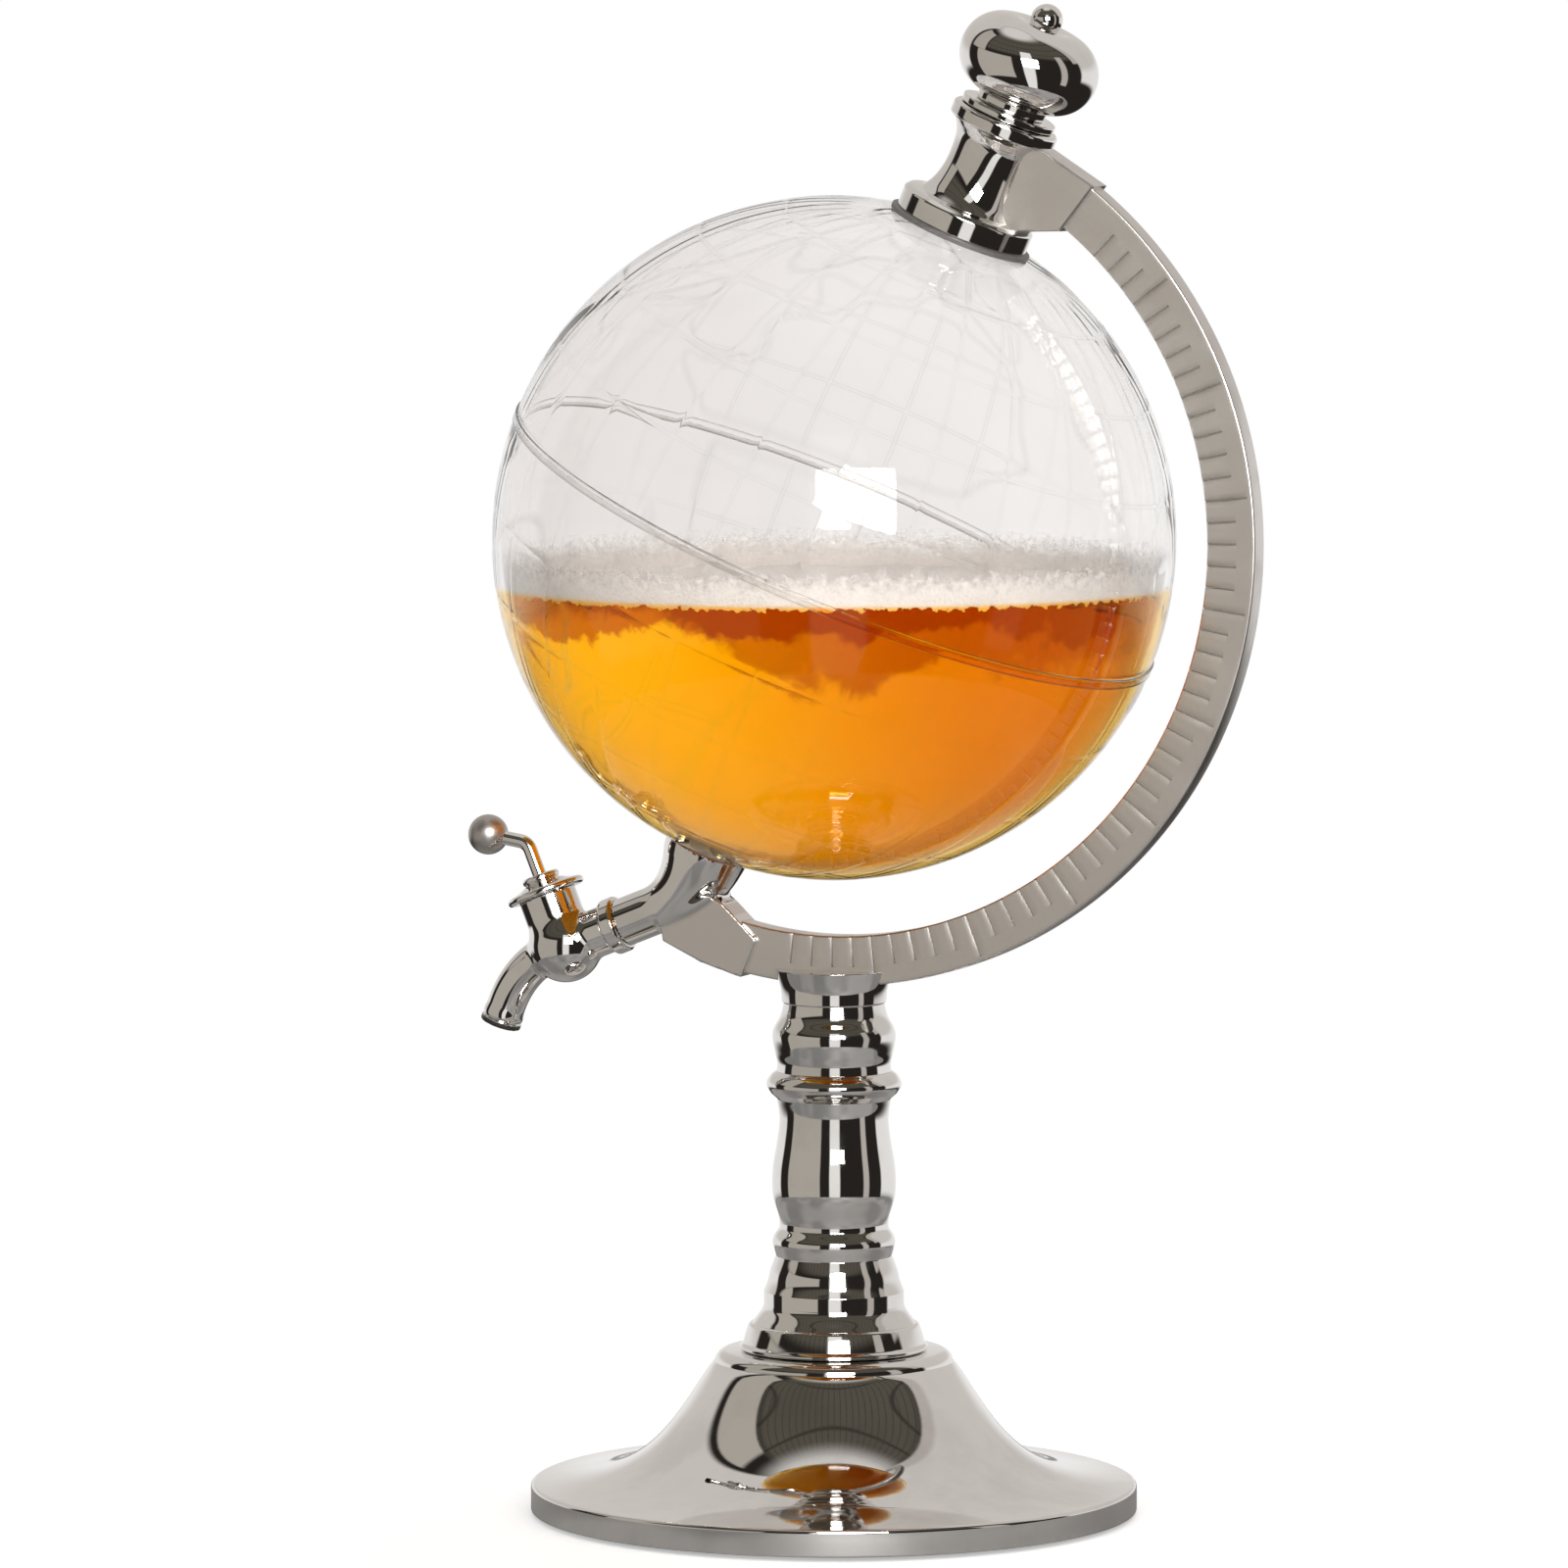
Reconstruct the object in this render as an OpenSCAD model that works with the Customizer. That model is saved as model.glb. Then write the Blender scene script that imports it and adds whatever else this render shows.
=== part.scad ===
// Globe drink dispenser: a clear globe held in a graduated meridian arc on a turned stem,
// with a lift-out filler cap at the upper pole and a quarter-turn tap at the lower pole.
// Millimetres, +Z up, origin at the centre of the pad that the foot rests on.
// The arc lies in the XZ plane on the +X side and the tap points to -X.

/* [Globe] */
// Outside diameter of the globe
globe_d = 200; // [170:1:230]
// Wall of the globe
globe_wall = 2.6; // [2:0.1:4]
// Lean of the globe's axis from the vertical, in degrees
axis_tilt = 23.5; // [18:0.5:28]
// Height of the band that covers the seam of the two halves
seam_band_h = 3; // [2:0.1:5]
// How far the seam band stands proud of the globe
seam_band_proud = 0.5; // [0.2:0.1:1]
// Outside diameter of the filler neck
filler_neck_d = 30; // [27:0.5:32]
// Height of the filler neck above the pole
filler_neck_h = 4.5; // [3:0.5:5]
// Outside diameter of the outlet neck
outlet_neck_d = 16; // [14:0.5:17]
// Length of the outlet neck below the pole
outlet_neck_h = 7; // [5:0.5:8]
// Wall of both necks
neck_wall = 2.2; // [1.6:0.1:2.6]

/* [Meridian arc] */
// Radial gap between the globe and the arc
arc_gap = 16.5; // [12:0.5:24]
// Radial width of the arc
arc_w = 14.6; // [10:0.2:18]
// Thickness of the arc
arc_t = 8.4; // [6:0.2:9]
// Angle from the axis to the visible upper end of the arc
arc_upper_end = 15; // [14:0.1:18]
// Angle from the axis to the visible lower end of the arc
arc_lower_end = 12.4; // [12:0.1:14]
// Length of arc held in each socket
tenon_len = 8; // [5:0.5:9]
// Degrees between two graduation marks
tick_step = 3; // [2:1:5]
// Number of steps from one long mark to the next
tick_group = 5; // [2:1:6]
// Width of a graduation mark
tick_w = 0.7; // [0.4:0.1:1]
// Depth of a graduation mark
tick_depth = 0.35; // [0.2:0.05:0.6]
// Length of a short mark from the inner edge
tick_short = 9; // [5:0.5:9.5]
// Length of a long mark from the inner edge
tick_long = 13; // [10:0.5:13.5]

/* [Foot] */
// Diameter of the foot
foot_d = 178.6; // [160:0.5:200]
// Height of the foot's shoulder above the table
foot_h = 48; // [42:0.5:60]
// Height of the upright rim face
foot_rim_h = 8; // [6:0.5:10]
// Rounding of the rim's upper edge
foot_rim_round = 1.2; // [0.5:0.1:2]
// Diameter of the bell at its shoulder
bell_d = 70; // [66:0.5:78]
// Rounding of the shoulder
shoulder_round = 3.2; // [2:0.1:4]
// How quickly the bell falls away to the rim
bell_flare = 4.3; // [3:0.1:5.5]
// How hollow the bell's slope is: 1 is a plain exponential
bell_bend = 1.28; // [1:0.02:1.6]
// Wall of the foot
foot_wall = 3; // [2.4:0.1:4]
// Thickness of the base plate
plate_t = 2.4; // [2:0.1:3]
// Distance from the base plate's edge to the edge of the pad under it
pad_inset = 5.2; // [3:0.1:20]
// Thickness of the pad
pad_t = 2; // [1.5:0.1:3]
// How far the pad stands below the rim
pad_proud = 0.8; // [0.5:0.1:1.2]
// Diameter of the circle of base plate screws
plate_screw_pcd = 120; // [100:1:126]
// Number of base plate screws
plate_screw_count = 4; // [3:1:6]
// Diameter of a base plate screw
plate_screw_d = 3; // [2.5:0.5:4]
// Diameter of the posts that take the base plate screws
plate_post_d = 9; // [8:0.5:12]

/* [Stem] */
// Diameter of the ring between foot and stem
stem_ring_d = 55.4; // [50:0.2:60]
// How much narrower the ring is at its top on each side
stem_ring_taper = 2.4; // [1:0.1:3.5]
// Height of the ring between foot and stem
stem_ring_h = 8; // [6:0.5:12]
// Diameter of the column's plinth
plinth_d = 41.2; // [38:0.2:44]
// Height of the spread under the plinth
plinth_spread_h = 5.6; // [4:0.2:8]
// Height of the plinth's straight band
plinth_band_h = 3.8; // [2:0.2:6]
// Height of the taper above the plinth
lower_knop_h = 10.4; // [8:0.2:14]
// Diameter of the column's necks
neck_d = 32; // [30:0.2:33]
// Diameter of the lower bead
lower_bead_d = 36; // [35:0.2:39]
// Height of the lower bead
lower_bead_h = 9.2; // [7:0.2:12]
// Diameter of the vase's belly
vase_d = 36; // [35:0.2:39]
// Length of the vase section
vase_len = 37.4; // [32:0.2:50]
// Diameter of the upper flange
flange_d = 39.4; // [38:0.2:43]
// Height of the upper flange
flange_h = 8.1; // [6:0.1:10]
// Diameter of the saddle's knop
knop_d = 36.2; // [35:0.2:39]
// Height of the saddle's knop
knop_h = 20.1; // [16:0.1:25]
// Diameter of the saddle's waist
saddle_waist_d = 29.6; // [27:0.2:31]
// Diameter of the saddle's mouth
saddle_d = 34.6; // [33:0.2:38]
// Height of the saddle's flare
saddle_h = 9.9; // [8:0.1:13]
// Depth of the slot that takes the arc
saddle_slot = 4.6; // [3:0.2:6]
// Diameter of the column's hollow core
core_d = 22; // [18:0.5:24]
// Depth of the spigots that centre the stem's pieces
spigot_len = 5; // [3:0.5:6]
// Wall above the slot at the foot's top
foot_top_wall = 4; // [3:0.2:6]
// Diameter of the tie rod
tie_rod_d = 8; // [6:0.5:9]
// Diameter of the tie rod's upper stud
tie_stud_d = 4.6; // [3:0.2:5]
// Depth of the stud in the arc
tie_stud_len = 8; // [5:0.5:9]
// Width across the flats of the tie rod's nut
nut_flats = 13; // [12:0.5:15]
// Height of the tie rod's nut
nut_h = 6.5; // [5:0.5:8]
// Diameter of the washer under the foot's top
washer_d = 34; // [30:0.5:38]
// Thickness of the washer
washer_t = 1.6; // [1:0.1:2.5]

/* [Upper collar] */
// Diameter of the collar's skirt
skirt_d = 40; // [38:0.5:44]
// Height of the skirt's upper edge above the pole
skirt_top = 6.2; // [5.6:0.2:9]
// Diameter of the collar's waist
waist_d = 23.2; // [22.4:0.2:25]
// Diameter of the collar's top ring
top_ring_d = 32; // [29:0.5:34]
// Height of the collar's top ring
top_ring_h = 4.6; // [3:0.2:6]
// Height of the collar above the pole
collar_h = 34.4; // [32:0.2:40]
// Diameter of the bore that the drink is poured through
filler_bore_d = 18; // [16:0.5:18.5]
// Thickness of the socket arms
arm_t = 12; // [11.4:0.2:14]
// Wall of a socket above and below the arc
socket_wall = 1; // [0.8:0.1:2]
// Thickness of the gaskets between the globe and its collars
gasket_t = 1.2; // [0.8:0.1:2]
// How far the upper gasket shows beyond the skirt
gasket_lip = 1.4; // [0.4:0.1:2]

/* [Filler cap] */
// Length of the stopper below its flange
stopper_len = 12.5; // [10:0.5:16]
// Diameter of the stopper's flange
cap_flange_d = 28.4; // [26:0.2:30]
// Thickness of the stopper's flange
cap_flange_h = 2.2; // [1.5:0.1:3]
// Diameter of the knob
knob_d = 41.6; // [38:0.2:46]
// Thickness of the knob's rolled rim
knob_roll_d = 23.6; // [20:0.2:26]
// Diameter of the knob's foot
knob_foot_d = 21; // [18:0.5:23]
// Height of the knob's foot up to the roll's lowest point
knob_foot_h = 2.6; // [2:0.2:4]
// Diameter of the finial
finial_d = 9.4; // [8:0.2:11]
// Height of the finial above the knob's dimple
finial_h = 10.6; // [9:0.2:13]
// Diameter of the finial's stud
finial_stud_d = 5; // [4:0.2:6]
// Section diameter of the stopper's sealing ring
stopper_ring_d = 2.2; // [1.8:0.1:2.6]

/* [Outlet elbow] */
// Distance below the pole at which the axis meets the tap's line
elbow_drop = 16.7; // [15:0.1:20]
// Slope of the tap's line below the horizontal, in degrees
tap_drop = 22; // [16:0.5:26]
// Radius of the elbow's bend
elbow_bend_r = 30; // [26:0.5:32]
// Diameter of the elbow at the globe
elbow_mouth_d = 25.6; // [24:0.2:27]
// Diameter of the elbow at the coupling
elbow_end_d = 14.4; // [13.4:0.2:15.4]
// Distance from the bend's corner to the coupling
elbow_reach = 24.4; // [22:0.2:30]
// Distance from the axis to the elbow arm's outer face
elbow_arm_reach = 26.6; // [25:0.2:30]
// Diameter of the drink's passage
passage_d = 8; // [6:0.5:8.5]

/* [Tap] */
// Diameter of the coupling ring
coupling_d = 17; // [16.4:0.2:19]
// Length of the coupling ring
coupling_len = 5; // [4:0.2:7]
// Wall of the spigots inside the coupling ring
coupling_spigot_wall = 1.2; // [1:0.1:1.5]
// Distance from the coupling to the valve's axis
valve_reach = 17.6; // [16:0.2:22]
// Diameter of the valve's round chamber
chamber_d = 22; // [20:0.2:24]
// Diameter of the valve's barrel
barrel_d = 17.4; // [16:0.2:19]
// Height of the barrel above the tap's line
barrel_h = 16; // [14:0.2:20]
// Diameter of the turning plug
plug_d = 12; // [11:0.2:12.6]
// Depth of the plug's bore below the tap's line
plug_depth = 7.4; // [6:0.2:7.8]
// Diameter of the bonnet's flange
bonnet_d = 23.7; // [21:0.2:26]
// Thickness of the bonnet's flange
bonnet_flange_h = 2.2; // [1.6:0.1:3]
// Diameter of the bonnet's upper tier
bonnet_tier_d = 11.4; // [9:0.2:13]
// Height of the bonnet's cone and upper tier
bonnet_tier_h = 4.2; // [3:0.2:6]
// Diameter of the spout
spout_d = 11.6; // [10:0.2:12.4]
// Radius of the spout's bend
spout_bend_r = 30; // [24:0.5:36]
// Angle through which the spout turns down
spout_turn = 48; // [35:1:60]
// Straight length at the spout's mouth
spout_tip = 6.2; // [3:0.2:9]
// How far the spout's mouth is wider than its bend on each side
spout_lip = 0.3; // [0.2:0.1:0.6]
// Distance from the valve's axis to the start of the spout's bend
spout_lead = 2.4; // [1:0.2:5]

/* [Lever] */
// Diameter of the lever rod
lever_d = 4.2; // [3.6:0.1:5]
// Height of the lever's corner above the tap's line
lever_h = 32.6; // [30:0.2:42]
// Radius of the lever's bend
lever_bend_r = 4; // [3.5:0.1:5]
// Rise of the lever's arm above square to the rod, in degrees
lever_rise = 31; // [0:1:36]
// Distance from the lever's corner to the ball's centre
lever_len = 12.9; // [11.4:0.1:20]
// Diameter of the ball
ball_d = 12; // [10:0.2:14]

/* [Fits] */
// Clearance of located pieces on each side
locate_fit = 0.1; // [0.05:0.01:0.15]
// Clearance of turning and sliding pieces on each side
running_fit = 0.05; // [0.03:0.01:0.08]
// Gap under the filler cap's flange
seat_gap = 0.2; // [0.1:0.05:0.3]

/* [Hidden] */

$fn = 72;
curve_steps = 6;
bell_steps = 18;
elbow_steps = 14;
elbow_sides = 28;
cut = 1;

globe_r = globe_d / 2;
globe_inner_r = globe_r - globe_wall;
arc_inner_r = globe_r + arc_gap;
arc_outer_r = arc_inner_r + arc_w;
rim_z = pad_proud;
rim_top = rim_z + foot_rim_h;
foot_r = foot_d / 2;
bell_r = bell_d / 2;
plate_top = pad_t + plate_t;
plate_r = foot_r - foot_wall - locate_fit;
pad_r = plate_r - pad_inset;

ring_z = foot_h;
column_z = ring_z + stem_ring_h;
plinth_z = column_z + plinth_spread_h;
knop_z = plinth_z + plinth_band_h;
bead_z = knop_z + lower_knop_h;
vase_z = bead_z + lower_bead_h;
flange_z = vase_z + vase_len;
saddle_z = flange_z + flange_h;
saddle_waist_z = saddle_z + knop_h;
saddle_top = saddle_waist_z + saddle_h;
globe_z = saddle_top - saddle_slot + arc_outer_r;

tenon_turn = tenon_len / arc_inner_r * 180 / PI;
arc_from = -90 + arc_lower_end - tenon_turn;
arc_to = 90 - arc_upper_end + tenon_turn;

filler_neck_r = filler_neck_d / 2;
outlet_neck_r = outlet_neck_d / 2;
filler_bore_r = filler_bore_d / 2;
collar_top = globe_r + collar_h;
gasket_r = globe_r + gasket_t;

knob_roll_r = knob_roll_d / 2;
knob_centre_r = knob_d / 2 - knob_roll_r;
cap_z = collar_top + seat_gap;
knob_z = cap_z + cap_flange_h;
knob_mid_z = knob_z + knob_foot_h + knob_roll_r;
dimple_z = knob_mid_z + sqrt(knob_roll_r * knob_roll_r - knob_centre_r * knob_centre_r);
finial_r = finial_d / 2;
finial_neck_step = 0.5;
finial_shank_r = finial_r - finial_neck_step;
finial_seat = 1;
stopper_floor = 2;
stopper_r = filler_bore_r - running_fit;
stopper_ring_r = stopper_ring_d / 2;

elbow_turn = 90 - axis_tilt - tap_drop;
elbow_tangent = elbow_bend_r * tan(elbow_turn / 2);
elbow_mouth_len = elbow_drop + gasket_t - elbow_tangent;
passage_r = passage_d / 2;
passage_step = 0.2;
spigot_r = passage_r + coupling_spigot_wall;
plug_r = plug_d / 2;
lever_r = lever_d / 2;
lever_turn = 90 - lever_rise;
lever_tangent = lever_bend_r * tan(lever_turn / 2);
lever_swell = 0.1;
lever_lap = 0.3;
plug_seal_r = 0.8;
neck_seal_r = 0.6;
bonnet_spigot_len = 3.5;
bonnet_plug_gap = 0.5;
plug_end_gap = 0.3;
plug_seal_depth = 2;
plug_seal_pitch = 3;
plug_top = barrel_h - bonnet_spigot_len;
plug_seals = [plug_top - plug_seal_depth, plug_top - plug_seal_depth - plug_seal_pitch];
lever_socket = 7;
bonnet_top = barrel_h + bonnet_flange_h + bonnet_tier_h;

// A smooth curve through the points of an outline
function curve(p) = concat([for (i = [0:len(p) - 2])
    let (a = p[max(i - 1, 0)], b = p[i], c = p[i + 1], d = p[min(i + 2, len(p) - 1)])
    for (k = [0:curve_steps - 1]) let (t = k / curve_steps)
        0.5 * (2 * b + (c - a) * t + (2 * a - 5 * b + 4 * c - d) * t * t
            + (3 * b - a - 3 * c + d) * t * t * t)], [p[len(p) - 1]]);

// Height of the bell's outside at a radius: it dies away exponentially towards the rim
bell_span = foot_r - foot_rim_round - bell_r;
function bell_share(r) = exp(-bell_flare * pow(max(r - bell_r, 0) / bell_span, bell_bend));
function bell_height(r) = rim_top
    + (foot_h - shoulder_round - rim_top) * (bell_share(r) - exp(-bell_flare)) / (1 - exp(-bell_flare));

// Height on a sphere of radius r at a distance d from its axis
function on_sphere(r, d) = sqrt(r * r - d * d);

// Centre line of the elbow in the tap's frame, from the mouth (u = 0) to the coupling (u = 1)
elbow_arc_len = elbow_bend_r * elbow_turn * PI / 180;
elbow_out_len = elbow_reach - elbow_tangent - coupling_len / 2;
elbow_len = elbow_mouth_len + elbow_arc_len + elbow_out_len;
function elbow_angle(l) = elbow_turn
    * (1 - min(max((l - elbow_mouth_len) / elbow_arc_len, 0), 1));
function elbow_point(l) = let (a = elbow_angle(l), back = max(elbow_mouth_len - l, 0),
    on = max(l - elbow_mouth_len - elbow_arc_len, 0))
    [-elbow_tangent + elbow_bend_r * sin(a) + back * cos(elbow_turn) - on,
     elbow_bend_r * (1 - cos(a)) + back * sin(elbow_turn)];
// The elbow's radius falls on an S curve from its mouth to its end
function ease(t) = t * t * (3 - 2 * t);
function elbow_r(l) = (elbow_mouth_d + (elbow_end_d - elbow_mouth_d)
    * ease(min(max(l / (elbow_mouth_len + elbow_arc_len), 0), 1))) / 2;
function elbow_ring(l) = let (a = elbow_angle(l), p = elbow_point(l), r = elbow_r(l))
    [for (k = [0:elbow_sides - 1]) let (w = 360 * k / elbow_sides)
        [p[0] - r * cos(w) * sin(a), r * sin(w), p[1] + r * cos(w) * cos(a)]];

module on_axis() {
    translate([0, 0, globe_z]) rotate([0, axis_tilt, 0]) children();
}

module at_corner() {
    on_axis() translate([0, 0, -globe_r - elbow_drop]) rotate([0, -axis_tilt - tap_drop, 0]) children();
}

module at_valve() {
    at_corner() translate([-elbow_reach - valve_reach, 0, 0]) children();
}

module turned(outline) {
    rotate_extrude() polygon(outline);
}

module ring(r_out, r_in, z, h) {
    translate([0, 0, z]) difference() {
        cylinder(r = r_out, h = h);
        translate([0, 0, -cut]) cylinder(r = r_in, h = h + 2 * cut);
    }
}

// A sealing ring that lies flush in its groove in a round surface of radius r
module seal(r, section_r, z) {
    translate([0, 0, z]) rotate_extrude() translate([r - section_r, 0]) circle(section_r);
}

module seal_groove(r, section_r, z) {
    half = section_r + locate_fit;
    ring(r + cut, r - section_r - half, z - half, 2 * half);
}

// A bar of the arc's section along the arc, with room on every side
module arc_bar(from, to, room) {
    on_axis() rotate([90, 0, 0]) rotate([0, 0, from]) rotate_extrude(angle = to - from)
        translate([arc_inner_r - room, -arc_t / 2 - room]) square([arc_w + 2 * room, arc_t + 2 * room]);
}

module at_arc(angle, r) {
    on_axis() rotate([0, -angle, 0]) translate([r, 0, 0]) children();
}

// A plate in the arc's plane, from points given across the axis and along it
module arm_plate(outline) {
    on_axis() translate([0, arm_t / 2, 0]) rotate([90, 0, 0]) linear_extrude(arm_t) polygon(outline);
}

module plate_screw_places() {
    for (k = [0:plate_screw_count - 1]) rotate(45 + 360 * k / plate_screw_count)
        translate([plate_screw_pcd / 2, 0, 0]) children();
}

function foot_outline() = concat(
    [[0, rim_z], [foot_r, rim_z], [foot_r, rim_top - foot_rim_round]],
    [for (a = [15:15:75]) [foot_r - foot_rim_round * (1 - cos(a)), rim_top - foot_rim_round * (1 - sin(a))]],
    [for (k = [0:bell_steps])
        let (r = bell_r + bell_span * (1 - k / bell_steps))
        [r, bell_height(r)]],
    [for (a = [15:15:90])
        [bell_r - shoulder_round * (1 - cos(a)), foot_h - shoulder_round * (1 - sin(a))]],
    [[0, foot_h]]);

function cavity_outline() = concat(
    [[0, rim_z - cut], [foot_r - foot_wall, rim_z - cut]],
    [for (k = [0:bell_steps])
        let (r = bell_r + bell_span * (1 - k / bell_steps))
        [r + foot_rim_round - foot_wall, min(bell_height(r) - foot_wall, foot_h - foot_top_wall)]],
    [[bell_r - foot_wall, foot_h - foot_top_wall], [0, foot_h - foot_top_wall]]);

module foot() {
    color("silver") difference() {
        turned(foot_outline());
        difference() {
            turned(cavity_outline());
            plate_screw_places() translate([0, 0, plate_top]) cylinder(d = plate_post_d, h = foot_h);
        }
        translate([0, 0, foot_h - foot_top_wall - cut]) cylinder(d = core_d, h = foot_top_wall + 2 * cut);
        plate_screw_places() translate([0, 0, plate_top - cut])
            cylinder(d = plate_screw_d + 2 * locate_fit, h = plate_post_d + cut);
    }
}

module base_plate() {
    color("dimgray") difference() {
        translate([0, 0, pad_t]) cylinder(r = plate_r, h = plate_t);
        plate_screw_places() translate([0, 0, pad_t - cut]) {
            cylinder(d = plate_screw_d + 2 * locate_fit, h = plate_t + 2 * cut);
            cylinder(d = 2 * plate_screw_d + 2 * locate_fit, h = cut + plate_t / 2);
        }
    }
}

module base_plate_screws() {
    color("gray") plate_screw_places() translate([0, 0, pad_t]) {
        cylinder(d = 2 * plate_screw_d, h = plate_t / 2);
        cylinder(d = plate_screw_d, h = plate_t + plate_post_d - locate_fit);
    }
}

module base_pad() {
    color("black") cylinder(r = pad_r, h = pad_t);
}

module stem_ring() {
    bead = 0.9;
    r = stem_ring_d / 2;
    top_r = r - stem_ring_taper;
    color("silver") difference() {
        union() {
            turned([[0, ring_z], [r - bead, ring_z], [r, ring_z + bead / 2], [r, ring_z + 1.5 * bead],
                [r - bead / 2, ring_z + 2 * bead], [r - bead, ring_z + 2.4 * bead],
                [top_r, column_z - bead], [top_r - bead / 3, column_z - bead / 3], [top_r - bead, column_z],
                [0, column_z]]);
            translate([0, 0, ring_z - foot_top_wall + locate_fit])
                cylinder(r = core_d / 2 - locate_fit, h = foot_top_wall);
            translate([0, 0, column_z - cut]) cylinder(r = core_d / 2 - locate_fit, h = spigot_len + cut);
        }
        translate([0, 0, ring_z - foot_top_wall - cut])
            cylinder(d = tie_rod_d + 2 * locate_fit, h = foot_top_wall + stem_ring_h + spigot_len + 2 * cut);
    }
}

module stem_column() {
    plinth_r = plinth_d / 2;
    plinth_spread = 3.4;
    neck_r = neck_d / 2;
    neck_fillet = 1.1;
    bead_r = lower_bead_d / 2;
    vase_r = vase_d / 2;
    flange_r = flange_d / 2;
    outside = concat(
        curve([[plinth_r + plinth_spread, column_z],
            [plinth_r + plinth_spread * 0.76, column_z + plinth_spread_h * 0.2],
            [plinth_r + plinth_spread * 0.18, plinth_z - plinth_spread_h * 0.3], [plinth_r, plinth_z]]),
        curve([[plinth_r, knop_z], [plinth_r - 1.2, knop_z + lower_knop_h * 0.3],
            [plinth_r - 2, knop_z + lower_knop_h * 0.62], [neck_r + neck_fillet, bead_z]]),
        curve([[neck_r + 1.2 * neck_fillet, bead_z + lower_bead_h * 0.1],
            [bead_r, bead_z + lower_bead_h * 0.42],
            [bead_r - 0.4, bead_z + lower_bead_h * 0.64], [neck_r + 0.2, bead_z + lower_bead_h * 0.88],
            [neck_r, vase_z]]),
        curve([[neck_r, vase_z + vase_len * 0.02], [neck_r + 0.4, vase_z + vase_len * 0.08],
            [vase_r, vase_z + vase_len * 0.24], [vase_r, vase_z + vase_len * 0.44],
            [neck_r + 0.6, vase_z + vase_len * 0.68], [neck_r, vase_z + vase_len * 0.84],
            [neck_r + 0.7 * neck_fillet, flange_z]]),
        curve([[flange_r - 1.1, flange_z + flange_h * 0.2], [flange_r, flange_z + flange_h * 0.43],
            [flange_r, flange_z + flange_h * 0.63], [flange_r - 1.2, flange_z + flange_h * 0.86],
            [neck_r + 0.9 * neck_fillet, saddle_z]]));
    color("silver") difference() {
        turned(concat([[0, column_z]], outside, [[0, saddle_z]]));
        translate([0, 0, column_z - cut]) cylinder(d = core_d, h = saddle_z - column_z + 2 * cut);
    }
}

module arc_saddle() {
    knop_r = knop_d / 2;
    neck_r = neck_d / 2;
    waist_r = saddle_waist_d / 2;
    outside = concat(
        curve([[neck_r + 0.8, saddle_z], [neck_r + 0.7, saddle_z + knop_h * 0.12],
            [knop_r - 0.7, saddle_z + knop_h * 0.28], [knop_r, saddle_z + knop_h * 0.5],
            [knop_r - 0.5, saddle_z + knop_h * 0.63], [waist_r + 0.9, saddle_z + knop_h * 0.81],
            [waist_r, saddle_waist_z]]),
        curve([[waist_r + 0.5, saddle_waist_z + saddle_h * 0.03],
            [waist_r + 1, saddle_waist_z + saddle_h * 0.45], [saddle_d / 2, saddle_top]]));
    color("silver") difference() {
        union() {
            turned(concat([[0, saddle_z]], outside, [[0, saddle_top]]));
            translate([0, 0, saddle_z - spigot_len])
                cylinder(r = core_d / 2 - locate_fit, h = spigot_len + cut);
        }
        arc_bar(arc_from, arc_to, locate_fit);
        translate([0, 0, saddle_z - spigot_len - cut])
            cylinder(d = tie_rod_d + 2 * locate_fit, h = saddle_top - saddle_z + spigot_len + 2 * cut);
    }
}

rod_shoulder = globe_z - arc_outer_r - 2 * locate_fit;
rod_overrun = 3;
rod_bottom = foot_h - foot_top_wall - washer_t - nut_h - rod_overrun;

module tie_rod() {
    color("darkgray") {
        translate([0, 0, rod_bottom]) cylinder(d = tie_rod_d, h = rod_shoulder - rod_bottom);
        translate([0, 0, rod_shoulder - cut])
            cylinder(d = tie_stud_d, h = tie_stud_len + cut);
    }
}

module tie_rod_nut() {
    z = foot_h - foot_top_wall - washer_t - nut_h;
    color("gray") translate([0, 0, z]) difference() {
        cylinder(d = nut_flats / cos(30), h = nut_h, $fn = 6);
        translate([0, 0, -cut]) cylinder(d = tie_rod_d + 2 * locate_fit, h = nut_h + 2 * cut);
    }
}

module tie_rod_washer() {
    z = foot_h - foot_top_wall - washer_t;
    color("lightgray") ring(washer_d / 2, tie_rod_d / 2 + locate_fit, z, washer_t);
}

module arc_ticks(side) {
    first = ceil((arc_from + 2 * tenon_turn) / tick_step);
    last = floor((arc_to - 2 * tenon_turn) / tick_step);
    for (k = [first:last]) let (long = k % tick_group == 0 ? tick_long : tick_short)
        at_arc(k * tick_step, arc_inner_r - cut)
            translate([0, side * arc_t / 2 - tick_depth, -tick_w / 2])
                cube([long + cut, 2 * tick_depth, tick_w]);
}

arc_screw_d = 3;
arc_screw_grip = 2.4;
arc_screw_angles = [arc_from + tenon_turn / 2, arc_to - tenon_turn / 2];

module arc_screw_places() {
    for (angle = arc_screw_angles)
        at_arc(angle, arc_inner_r + arc_w / 2) rotate([-90, 0, 0]) children();
}

module meridian_arc() {
    color("darkgray") difference() {
        arc_bar(arc_from, arc_to, 0);
        arc_ticks(1);
        arc_ticks(-1);
        translate([0, 0, globe_z - arc_outer_r - cut])
            cylinder(d = tie_stud_d + 2 * locate_fit, h = tie_stud_len + 2 * cut);
        arc_screw_places() translate([0, 0, arc_t / 2 - arc_screw_grip - locate_fit])
            cylinder(d = arc_screw_d + 2 * locate_fit, h = arc_t);
    }
}

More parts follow.
